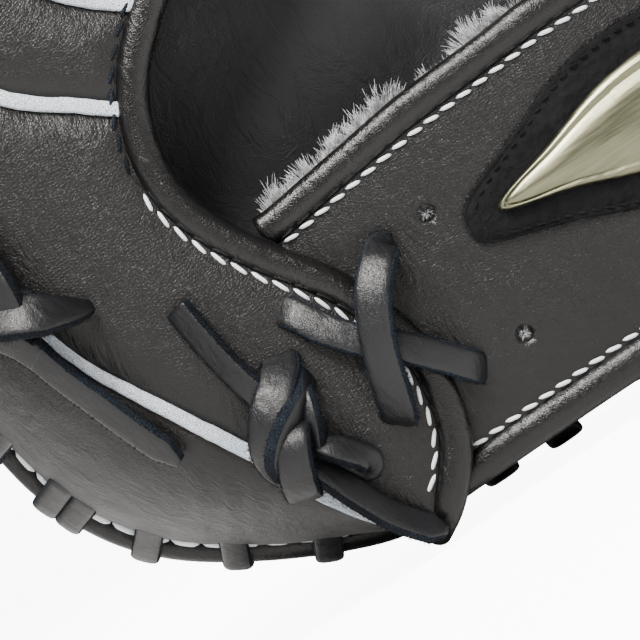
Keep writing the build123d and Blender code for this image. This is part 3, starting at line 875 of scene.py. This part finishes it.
def cut_away(piece, tool):
    """Cuts the tool's solid out of a piece and removes the tool."""
    cut = piece.modifiers.new("cut", "BOOLEAN")
    cut.operation, cut.solver, cut.object = "DIFFERENCE", "EXACT", tool
    bpy.context.view_layer.update()
    done = bpy.data.meshes.new_from_object(piece.evaluated_get(bpy.context.evaluated_depsgraph_get()))
    piece.modifiers.clear()
    piece.data = done
    bpy.data.objects.remove(tool)
    return piece


strap = sheet_piece("wrist_strap", strap_grid(0.3, 9.5, 67.0), (0, -1, 0), 2.8, [strap_hide])
for x, z in ((-31.6, 54.1), (-29.2, 25.4)):
    turn = np.linspace(0, 2 * math.pi, 24, endpoint=False)
    ring = np.stack([x + 1.7 * np.cos(turn), 0 * turn - 60, z + 1.7 * np.sin(turn)], 1)
    punch = mesh_piece("punch", np.vstack([ring, ring + (0, 30, 0)]),
                       [tuple(range(24)), tuple(range(47, 23, -1))]
                       + [(i + 24, (i + 1) % 24 + 24, (i + 1) % 24, i) for i in range(24)], [strap_hide])
    fix_normals(punch)
    cut_away(strap, punch)
settle(strap, "finger_side", "wrist_strap", slot="black_leather")
for name, z, seam_z in (("strap_upper_binding", 66.9, 63.1), ("strap_lower_binding", 9.4, 13.1)):
    plan, out = strap_plan(1.2)
    path = np.stack([plan[:, 0], plan[:, 1], np.full(len(plan), z)], 1)
    path[:, 2] += 0.3 * rough_field(path, 28.0, z) + strap_rise(path[:, 0], path[:, 2])
    ups = np.stack([out[:, 0], out[:, 1], 0 * out[:, 0]], 1)
    sizes = 1 + 0.05 * np.stack([rough_field(path, 15.0, z), rough_field(path, 11.0, z + 3)], 1)
    settle(swept_piece(name, path, oval(6.7, 6.2, 2.4, 20), ups, [roll_hide], sizes=sizes), "finger_side", name,
           slot="black_leather")
    plan, out = strap_plan(-0.42)
    row = np.stack([plan[:, 0], plan[:, 1], np.full(len(plan), seam_z)], 1)[2:]
    row[:, 2] += strap_rise(row[:, 0], row[:, 2])
    stitches = joined(name + "_stitches", stitch_chunks(row, np.stack([out[:, 0], out[:, 1], 0 * out[:, 0]], 1)[2:]),
                      [thread])
    settle(stitches, "finger_side", slot="white_welt")
print("strap", [round(v, 3) for v in strap.dimensions])

# %% [markdown]
# ## Fleece
# The fleece is a thick pad on the wrist side of the strap. What makes it read as fleece is the fringe of
# fibres that stands up over the bound edge, so those are real tapered strands, combed in small clumps.

# %% Fleece pad and fibres
pad = strap_grid(3.4, 9.0, 68.6, rows=30, crown=0.0, seed=8.0)
settle(sheet_piece("strap_fleece", pad, (0, -1, 0), 5.2, [fleece_fibre]), "finger_side", "strap_fleece", slot="fleece",
       padded=0.5)
draw = random.Random(5)
plan, out = strap_plan(0.0, 400)
TUFTS = [(-53, 3.6, 0.8), (-46, 3.0, 0.9), (-39, 4.0, 1.0), (-31, 4.0, 1.1), (-26, 2.0, 0.8), (-17.5, 1.4, 0.5), (-3, 6.0, 1.1),
         (12, 3.0, 0.6), (25, 6.0, 1.0), (44, 5.0, 0.8)]
chunks = []
while len(chunks) < 3600:
    i = draw.randrange(4, 398)
    depth = draw.uniform(3.6, 8.6)
    x, y = plan[i] - out[i] * depth
    full = max(h * math.exp(-((x - c) / w) ** 2) for c, w, h in TUFTS)
    if draw.random() > full + 0.12:
        continue
    z = draw.uniform(66.0, 69.0) + strap_rise(x, 68.0)
    clump = noise.noise(Vector((x / 2.2, depth / 3.0, 4.0)))
    tilt = noise.noise(Vector((x / 3.4, 9.0, depth / 4.0)))
    length = (draw.uniform(3.2, 5.2) + 3.4 * max(0.0, clump)) * min(1.0, full + 0.35)
    lean = np.array([1.5 * tilt + draw.uniform(-0.2, 0.2), -0.3 + draw.uniform(-0.25, 0.25), 1.0])
    lean /= np.linalg.norm(lean)
    curl = np.array([0.9 * clump + draw.uniform(-0.3, 0.3), draw.uniform(-0.3, 0.3), 0.0])
    points = np.array([(x, y, z) + lean * length * t + curl * t * t * length * 0.5 for t in (0.0, 0.4, 0.75, 1.0)])
    chunks.append(sweep_data(points, oval(0.20, 0.20, 2.0, 3), (0, -1, 0.1), sizes=[(w, w) for w in (1, 0.8, 0.55, 0.2)]))
for k in range(90):
    x, z = ((-31.6, 54.1), (-29.2, 25.4))[k % 2]
    spread = np.array([draw.uniform(-1.2, 1.2), 0.0, draw.uniform(-1.2, 1.2)])
    base = np.array([x, np.interp(x, plan[:, 0], plan[:, 1]) + 2.4, z]) + spread
    points = np.array([base, base - (0, 1.2, 0) + spread * 0.2, base - (0, 2.2, 0) - spread * draw.uniform(0.2, 0.8)])
    chunks.append(sweep_data(points, oval(0.22, 0.22, 2.0, 3), (0.1, 0, 1), sizes=[(1, 1), (0.8, 0.8), (0.4, 0.4)]))
settle(joined("fleece_fringe", chunks, [fleece_fibre]), "finger_side", slot="fleece")
print("fibres", len(chunks))

# %% [markdown]
# ## The badge
# A velvet patch carries a plain metal plate. The plate is a bevelled lozenge: flat border, fine groove and a
# low ridged middle, cut as rings from its outline inwards.

# %% Patch and plate
PLATE = [(-20.4, 47.2), (-6, 51.8), (8, 55.8), (22, 56.4), (33, 53), (41, 45), (33, 37), (22, 34), (8, 36.8), (-6, 42.2)]
PATCH = [(-27, 46.4), (-24.6, 51.4), (-10, 57.2), (5, 62.4), (22, 63), (36, 58.5), (46.5, 45), (36, 31.5), (22, 27.6),
         (5, 31.2), (-10, 37.4), (-24.6, 42.6)]


def on_strap(points, proud):
    """Lays flat (x, z) points on the strap's outer face, that far out of it."""
    plan, out = strap_plan(-0.9)
    x = np.clip(points[:, 0], plan[0, 0], plan[:, 0].max() - 0.5)
    at = np.interp(x, plan[:, 0], plan[:, 1])
    nx, ny = np.interp(x, plan[:, 0], out[:, 0]), np.interp(x, plan[:, 0], out[:, 1])
    return np.stack([points[:, 0] + nx * proud, at + ny * proud, points[:, 1]], 1)


def ringed(name, outline, rings, mats, ends, count=200):
    """A raised plate from rings of (share of the way to its spine, height), closed underneath."""
    line = line_through(outline, count, True)
    x = line[:, 0]
    middle = np.array([line[abs(x - v) < 2.5, 1].mean() for v in x])
    spine = np.stack([np.clip(x, x.min() + ends[0], x.max() - ends[1]), middle], 1)
    verts, faces = [], []
    for share, tall in rings:
        verts.append(on_strap(line + (spine - line) * share, tall))
    for r in range(len(rings) - 1):
        faces += [(r * count + i, r * count + (i + 1) % count, (r + 1) * count + (i + 1) % count, (r + 1) * count + i)
                  for i in range(count)]
    faces += [tuple(range(count)), tuple((len(rings) - 1) * count + i for i in range(count))[::-1]]
    piece = mesh_piece(name, np.concatenate(verts), faces, mats)
    fix_normals(piece)
    return piece


patch = ringed("badge_patch", PATCH, [(0.02, -1.0), (0.0, 0.4), (0.02, 0.9), (0.06, 1.15), (0.11, 0.85), (0.15, 1.2), (0.5, 1.2),
                                      (0.9, 1.2)], [velvet], (6, 6))
settle(patch, "finger_side", "badge_patch", slot="badge_cloth")
plate = ringed("badge_plate", PLATE, [(0.02, 0.6), (0.0, 1.5), (0.02, 1.9), (0.13, 2.9), (0.20, 2.95), (0.23, 2.5), (0.27, 2.5),
                                      (0.30, 2.75), (0.55, 3.1), (0.8, 3.35), (0.97, 3.4)], [badge_metal], (7, 5))
settle(plate, "finger_side", "badge_plate", slot="badge_metal")
draw = random.Random(3)
line = line_through(PATCH, 900, True)
chunks = []
for k in range(900):
    x, z = line[k]
    base = on_strap(np.array([(x, z)]), 0.5)[0]
    tip = base + (draw.uniform(-0.7, 0.7), -draw.uniform(0.2, 0.8), draw.uniform(-0.7, 0.7))
    chunks.append(sweep_data(np.array([base, (base + tip) / 2, tip]), oval(0.14, 0.14, 2.0, 3), (0.1, -1, 0.1),
                             sizes=[(1, 1), (0.8, 0.8), (0.3, 0.3)]))
settle(joined("patch_fuzz", chunks, [velvet]), "finger_side", slot="badge_cloth")
line = line_through(PATCH, 400, True)
inner = line.mean(0) + (line - line.mean(0)) * 0.925
row = on_strap(inner, 1.25)
settle(joined("patch_stitches", stitch_chunks(np.vstack([row, row[:1]]), (0, -1, 0), 2.6, 1.7, 0.42), [velvet]),
       "finger_side", slot="badge_cloth")
print("badge", [round(v, 3) for v in plate.dimensions])

# %% [markdown]
# ## Crossed lace and knots
# Flat hide laces are thick enough to stand off the surface where they bend. Each run is a strip swept through a
# few points, with wide smooth faces and pale fuzzy cut sides. The knots are the same strip, wrapped over itself.

# %% Crossed lace
def lace_run(points, width=LACE_WIDE, thick=LACE_THICK, up=(0, -1, 0), lean=0.0, count=None, point=0):
    """A lace through (x, z, y) points, y last because it is the height above the hide."""
    line = line_through(points, count or max(16, len(points) * 7))[:, (0, 2, 1)]
    ahead = np.gradient(line, axis=0)
    ahead /= np.linalg.norm(ahead, axis=1, keepdims=True)
    ups = np.broadcast_to(np.array(up, float), line.shape) - ahead * (ahead * np.array(up, float)).sum(1, keepdims=True)
    side = np.cross(ahead, ups)
    ups = ups + side * lean
    return lace_chunk(line, ups, width, thick, point)


cross = [lace_run([(-64.6, 54.6, -45.6), (-62.4, 52.3, -49.0), (-59.3, 46.9, -50.8), (-55.1, 41.7, -51.6), (-49.3, 36.1, -51.0),
                   (-44.3, 30.4, -49.4), (-40.8, 26.2, -47.4), (-39.0, 24.2, -43.6)], 6.1, 2.6, lean=-0.2),
         lace_run([(-41.8, 52.6, -45.6), (-42.4, 53.0, -49.4), (-44.2, 51.6, -53.2), (-47.9, 47.9, -55.2), (-51.1, 42.7, -55.4),
                   (-53.6, 36.8, -54.6), (-55.5, 30.7, -52.6), (-56.8, 26.6, -49.6), (-57.4, 25.0, -45.8)], 7.0, 3.2, lean=0.32)]
settle(lace_piece("strap_cross_lace", cross, 9), "finger_side", "strap_cross_lace", slot="lace_leather")

# %% Heel knot and its ends
knot = [lace_run([(-69.4, 46.6, -48.0), (-70.4, 45.2, -51.6), (-73.4, 42.4, -55.0), (-77.2, 39.2, -55.8), (-79.9, 35.4, -54.4),
                  (-80.6, 31.8, -50.4), (-79.6, 29.0, -47.6)], 7.6, 3.2, lean=0.35),
        lace_run([(-67.6, 41.6, -50.6), (-69.4, 39.6, -54.0), (-73.6, 37.3, -56.9), (-77.8, 34.6, -57.2), (-80.4, 31.8, -55.6),
                  (-80.6, 29.6, -52.6)], 5.0, 3.4, lean=-1.3),
        lace_run([(-70.0, 41.4, -50.6), (-70.3, 38.6, -54.0), (-71.4, 35.2, -55.4), (-73.0, 31.8, -54.4), (-74.4, 29.4, -51.8)],
                 6.2, 2.8, lean=0.7),
        lace_run([(-73.8, 36.2, -54.6), (-75.4, 34.2, -57.6), (-77.0, 31.4, -58.2), (-78.3, 28.4, -57.2), (-79.4, 25.4, -54.4),
                  (-79.6, 24.0, -50.0)], 7.0, 3.0, lean=0.3),
        lace_run([(-73.6, 32.4, -52.0), (-71.2, 29.2, -54.6), (-68.6, 26.0, -54.6), (-66.4, 22.9, -52.8), (-67.2, 21.4, -51.2),
                  (-69.6, 23.2, -51.0), (-73.0, 26.2, -51.2)], 5.6, 2.6, lean=-0.6)]
settle(lace_piece("heel_knot", knot, 9), "finger_side", "heel_knot", slot="lace_leather")
ends = [lace_run([(-79.6, 65.6, -50.2), (-79.0, 59.4, -50.8), (-78.2, 53.6, -51.2), (-77.3, 48.6, -51.8), (-76.0, 43.6, -52.4)],
                 5.8, 2.6, lean=0.75),
        lace_run([(-76.4, 30.0, -53.6), (-74.2, 25.0, -53.4), (-71.7, 18.6, -52.6), (-68.0, 10.8, -50.8), (-62.2, 3.2, -48.8)],
                 6.2, 2.8, lean=-0.85, point=4)]
settle(lace_piece("heel_knot_ends", ends, 9), "finger_side", "heel_knot_ends", slot="lace_leather")

# %% Side knot and its end
side_knot = [lace_run([(-106.4, 100.0, -47.0), (-105.8, 94.6, -52.4), (-105.2, 88.6, -55.4), (-105.8, 82.8, -54.8),
                       (-107.6, 78.4, -50.8)], 8.6, 3.4, lean=0.5),
             lace_run([(-114.0, 85.6, -47.0), (-109.6, 83.2, -53.6), (-104.0, 80.4, -57.0), (-99.0, 77.8, -56.0),
                       (-95.4, 75.9, -53.0), (-93.2, 74.9, -50.2)], 8.8, 3.0, lean=-0.55, point=16),
             lace_run([(-112.6, 84.0, -50.6), (-110.4, 80.6, -51.4), (-107.8, 76.8, -51.5), (-105.8, 72.4, -51.3)], 5.9, 2.5, lean=0.8),
             lace_run([(-112.4, 88.8, -46.0), (-108.6, 86.2, -51.2), (-105.4, 83.6, -52.6), (-102.0, 81.0, -51.6)], 7.4, 3.0),
             lace_run([(-106.0, 92.0, -51.0), (-110.0, 98.0, -48.4), (-117.6, 104.2, -38.0), (-125.6, 108.8, -20.0),
                       (-127.0, 110.2, -12.0)], 6.0, 2.5, up=(-0.6, -1, 0.1))]
settle(lace_piece("side_knot", side_knot, 9), "finger_side", "side_knot", slot="lace_leather")
side_end = lace_run([(-106.4, 75.4, -51.6), (-104.6, 68.2, -50.8), (-101.9, 60.2, -49.8), (-98.8, 51.2, -48.6),
                     (-95.2, 42.0, -47.2)], 6.0, 2.6, lean=0.8, point=5)
settle(lace_piece("side_knot_end", [side_end], 9), "finger_side", "side_lace_end", slot="lace_leather")
print("laces tied")

# %% [markdown]
# ## The palm
# The catching face is one hide over a thick pad: a round outer wall, a broad crest and a deep round pocket. It
# is a set of rings between the rim and the middle of the pocket, cut open for the web.

# %% Palm cover
POCKET = np.array([0.0, 150.0])
PALM_PROFILE = [(1.0, 3.4), (1.012, 8), (1.012, 16), (1.0, 25), (0.968, 35), (0.92, 43.5), (0.86, 49), (0.80, 51), (0.745, 49.5),
                (0.69, 44.5), (0.62, 37), (0.54, 29.5), (0.45, 22.8), (0.34, 17), (0.22, 13), (0.11, 11.2), (0.03, 10.8)]
profile = line_through(PALM_PROFILE, 46)


def palm_height(points):
    """y of the palm's face above each (x, z), inside the crest or on it."""
    line = rim_out(-2.3)
    angles = np.arctan2(line[:, 1] - POCKET[1], line[:, 0] - POCKET[0])
    reach = np.linalg.norm(line - POCKET, axis=1)
    order = np.argsort(angles)
    d = np.asarray(points, float) - POCKET
    full = np.interp(np.arctan2(d[:, 1], d[:, 0]), angles[order], reach[order], period=2 * math.pi)
    share = np.linalg.norm(d, axis=1) / full
    inner = profile[12:]
    return np.interp(share, inner[::-1, 0], inner[::-1, 1])


def web_gap_block():
    corners = [(4, 176), (-20, 300), (74, 300), (46, 176)]
    verts = [(x, y, z) for y in (-12, 66) for x, z in corners]
    faces = [(0, 1, 2, 3), (7, 6, 5, 4)] + [(i + 4, (i + 1) % 4 + 4, (i + 1) % 4, i) for i in range(4)]
    block = mesh_piece("gap", verts, faces, [black_hide])
    fix_normals(block)
    return block


line = rim_out(-2.3)[::3]
count = len(line)
rings = []
for share, y in profile:
    ring = POCKET + (line - POCKET) * share
    rings.append(np.stack([ring[:, 0], np.full(count, y), ring[:, 1]], 1))
grid = np.stack(rings, 1)
soft = 0.9 * rough_field(grid, 38.0, 4.0) + 0.3 * rough_field(grid, 12.0, 6.0)
crease = np.exp(-((grid[..., 0] - 22 - 3 * np.sin(grid[..., 2] / 14)) / 3.2) ** 2) / (1 + np.exp((grid[..., 2] - 104) / 7))
fade = np.clip((grid[..., 1] - 4) / 6, 0, 1)
grid = grid + grid_normals(grid, (0, 1, 0.0))[..., :] * ((soft - 1.4 * crease) * fade)[..., None]
grid = on_floor(grid, 0.0)
verts = grid.reshape(-1, 3)
rows = len(profile)
faces = [(i * rows + j, ((i + 1) % count) * rows + j, ((i + 1) % count) * rows + j + 1, i * rows + j + 1)
         for i in range(count) for j in range(rows - 1)]
faces += [tuple(i * rows for i in range(count)), tuple(i * rows + rows - 1 for i in range(count))[::-1]]
palm = mesh_piece("palm_cover", verts, faces, [black_hide])
fix_normals(palm)
cut_away(palm, web_gap_block())
settle(palm, None, "palm_cover_finger_side", "palm_cover_thumb_side", "palm_pad_finger_side", "palm_pad_thumb_side",
       slot="black_leather", padded=0.9)
print("palm", [round(v, 3) for v in palm.dimensions])

# %% Palm lining
line = rim_out(-3.4)[::4]
count = len(line)
rings = []
for share in np.linspace(1.0, 0.03, 34):
    ring = POCKET + (line - POCKET) * share
    rings.append(np.stack([ring[:, 0], np.full(count, -3.2), ring[:, 1]], 1))
grid = np.stack(rings, 1)
grid[..., 1] -= 0.8 * rough_field(grid, 22.0, 12.0) + 0.35 * rough_field(grid, 8.0, 15.0)
grid = on_floor(grid, 0.6)
rows = grid.shape[1]
back = grid.reshape(-1, 3)
front = back * (1, 0, 1) + (0, -0.3, 0)
size = len(back)
faces = []
for i in range(count):
    k = (i + 1) % count
    for j in range(rows - 1):
        quad = (i * rows + j, k * rows + j, k * rows + j + 1, i * rows + j + 1)
        faces += [quad, tuple(q + size for q in quad[::-1])]
    faces.append((i * rows, k * rows, k * rows + size, i * rows + size))
faces += [tuple(i * rows + rows - 1 for i in range(count)), tuple(i * rows + rows - 1 + size for i in range(count))[::-1]]
lining = mesh_piece("palm_lining", np.vstack([back, front]), faces, [lining_hide])
fix_normals(lining)
cut_away(lining, web_gap_block())
settle(lining, None, "palm_lining_finger_side", "palm_lining_thumb_side", slot="lining_leather")
print("lining", len(lining.data.vertices))

# %% [markdown]
# ## The web
# Two hide panels close the gap between index finger and thumb. A lace zigzags down the middle between them, and
# more laces tie their outer edges to the palm. The edges of the gap are rolled like the rim.

# %% Web panels
def quad_grid(corners, y, nu=26, nv=44, crown=1.2, seed=1.0):
    a, b, c, d = (np.array(p, float) for p in corners)
    grid = coons(even(np.array([a, b]), nu), even(np.array([d, c]), nu), even(np.array([a, d]), nv), even(np.array([b, c]), nv))
    u = np.linspace(-1, 1, nu)[:, None]
    v = np.linspace(-1, 1, nv)[None, :]
    lift = crown * (1 - u**4) * (1 - v**6) + 0.4 * rough_field(grid, 18.0, seed)
    return np.stack([grid[..., 0], y + lift, grid[..., 1]], -1)


def rim_top(x, inset=3.4):
    return 154.5 + math.sqrt((130.5 - inset) ** 2 - x * x)


def arched(grid, inset):
    # the straight top edge is pushed up onto the curve of the rim
    rise = np.array([rim_top(x, inset) for x in grid[:, -1, 0]]) - grid[:, -1, 2]
    grid[..., 2] += rise[:, None] * np.linspace(0, 1, grid.shape[1])[None, :] ** 4
    return grid


WEB = {"finger": [(6.4, 178.5), (20.6, 178.5), (20.6, rim_top(20.6)), (-13.4, rim_top(-13.4))],
       "thumb": [(32.4, 178.5), (44.4, 178.5), (65.0, rim_top(65.0)), (32.4, rim_top(32.4))]}
for side, corners in WEB.items():
    grid = arched(quad_grid(corners, 6.6, seed=3.0 if side == "finger" else 7.0), 3.0)
    settle(sheet_piece(f"web_panel_{side}_side", grid, (0, 1, 0), 3.6, [strap_hide]), None, f"web_panel_{side}_side",
           slot="black_leather")
    loop = np.array([(x, 5.2, z) for x, z in corners])
    loop = even(np.vstack([loop, loop[:1]]), 150, True)
    loop = np.array([(loop[k - 1] + loop[k] * 2 + loop[(k + 1) % 150]) / 4 for k in range(150)])
    settle(swept_piece(f"web_binding_{side}", loop, oval(5.0, 5.4, 2.4, 16), (0, 1, 0), [roll_hide], True), None,
           slot="black_leather")
grid = arched(quad_grid([(14, 177), (39, 177), (52, rim_top(52)), (-4, rim_top(-4))], 3.4, 20, 44, 0.3, 9.0), 2.4)
settle(sheet_piece("web_backing", grid, (0, 1, 0), 2.0, [black_hide]), None, slot="black_leather")
gap_lines = {"finger": [(4, 176), (-18.6, 293)], "thumb": [(46, 176), (72.6, 293)]}
foot = line_through([(4, 176), (25, 174.5), (46, 176)], 30)
rolls = []
for side, line in gap_lines.items():
    line = even(np.array(line, float), 80)
    reach = np.linalg.norm(line - POCKET, axis=1)
    keep = np.array([z < rim_top(x, 6.0) for x, z in line])
    line = line[keep]
    y = palm_height(line)
    rolls.append(sweep_data(np.stack([line[:, 0], y + 0.2, line[:, 1]], 1), oval(5.0, 5.0, 2.2, 14), (0, 1, 0)))
rolls.append(sweep_data(np.stack([foot[:, 0], palm_height(foot) + 0.2, foot[:, 1]], 1), oval(5.0, 5.0, 2.2, 14), (0, 1, 0)))
settle(joined("web_gap_rolls", rolls, [roll_hide]), None, slot="black_leather")

# %% Web laces, crotch piece and heel lace
laces = []
for i in range(6):
    z = 188 + 16.5 * i
    laces.append(lace_run([(14.5, z, 7.0), (17.0, z + 0.8, 10.4), (26.4, z + 5.5, 11.2), (35.6, z + 10.2, 10.4), (38.4, z + 11, 7.0)],
                          6.2, 2.3, up=(0, 1, 0)))
    laces.append(lace_run([(14.5, z + 10.6, 7.2), (17.0, z + 9.8, 9.6), (26.4, z + 5.5, 9.0), (35.6, z + 1.2, 9.6), (38.4, z, 7.0)],
                          6.0, 2.2, up=(0, 1, 0)))
settle(lace_piece("web_centre_lace", laces), None, "web_centre_lace_finger_side", "web_centre_lace_thumb_side",
       slot="lace_leather")
laces = []
for i in range(5):
    z = 192 + 17.0 * i
    left, right = 4 - 24 * (z - 176) / 124, 46 + 28 * (z - 176) / 124
    for x, sign in ((left, -1), (right, 1)):
        top = float(palm_height(np.array([(x, z)]))[0])
        laces.append(lace_run([(x - 8 * sign, z, 7.5), (x - 5 * sign, z, 11.0), (x - 3.4 * sign, z, (top + 9) / 2),
                               (x - 1.8 * sign, z, top + 2.2), (x + 3.2 * sign, z, top + 4.0), (x + 7 * sign, z, top - 1.0)],
                              6.2, 2.3, up=(-0.7 * sign, 1, 0), count=34))
settle(lace_piece("web_side_laces", laces), None, slot="lace_leather")
grid = quad_grid([(-11, 143), (39, 143), (42, 169), (-13, 169)], -13.6, 40, 22, -1.6, 5.0)
settle(sheet_piece("web_crotch", grid, (0, -1, 0), 2.6, [black_hide]), None, "web_crotch", slot="black_leather")
laces = []
for x in (-34, -14, 44):
    z = 15.0
    y = 45.0 if x != 44 else 44.0
    laces.append(lace_run([(x - 8.5, z, y - 3), (x - 6.0, z + 0.3, y + 0.8), (x, z + 0.6, y + 1.8), (x + 6.0, z + 0.3, y + 0.8),
                           (x + 8.5, z, y - 3)], 6.3, 2.3, up=(0, 1, 0)))
settle(lace_piece("heel_lace", laces[:2]), "finger_side", "heel_lace", slot="lace_leather")
settle(lace_piece("heel_lace_thumb", laces[2:]), None, slot="lace_leather")
print("web laced")

# %% [markdown]
# ## Heel laces behind the strap
# Behind the strap's lower edge the rim carries a few more turns of lace, which show as dark bumps.

# %% Heel turns
laces = []
for x, low_z in ((-47.4, 4.0), (-33.0, 3.2), (-2.0, 3.6)):
    points = [(x, low_z + 3.4, -7.6), (x + 0.4, low_z + 1.0, -5.2), (x + 0.8, low_z, -0.6), (x + 0.6, low_z + 0.8, 4.8),
              (x, low_z + 3.2, 7.6)]
    laces.append(lace_run(points, 7.6, 2.8, up=(0, 0, 1)))
settle(lace_piece("heel_turns", laces), None, slot="lace_leather")

# %% Finish
seen = [o for o in bpy.data.objects if o.type == "MESH" and not o.hide_render]
print("pieces", len(seen), "vertices", sum(len(o.data.vertices) for o in seen))
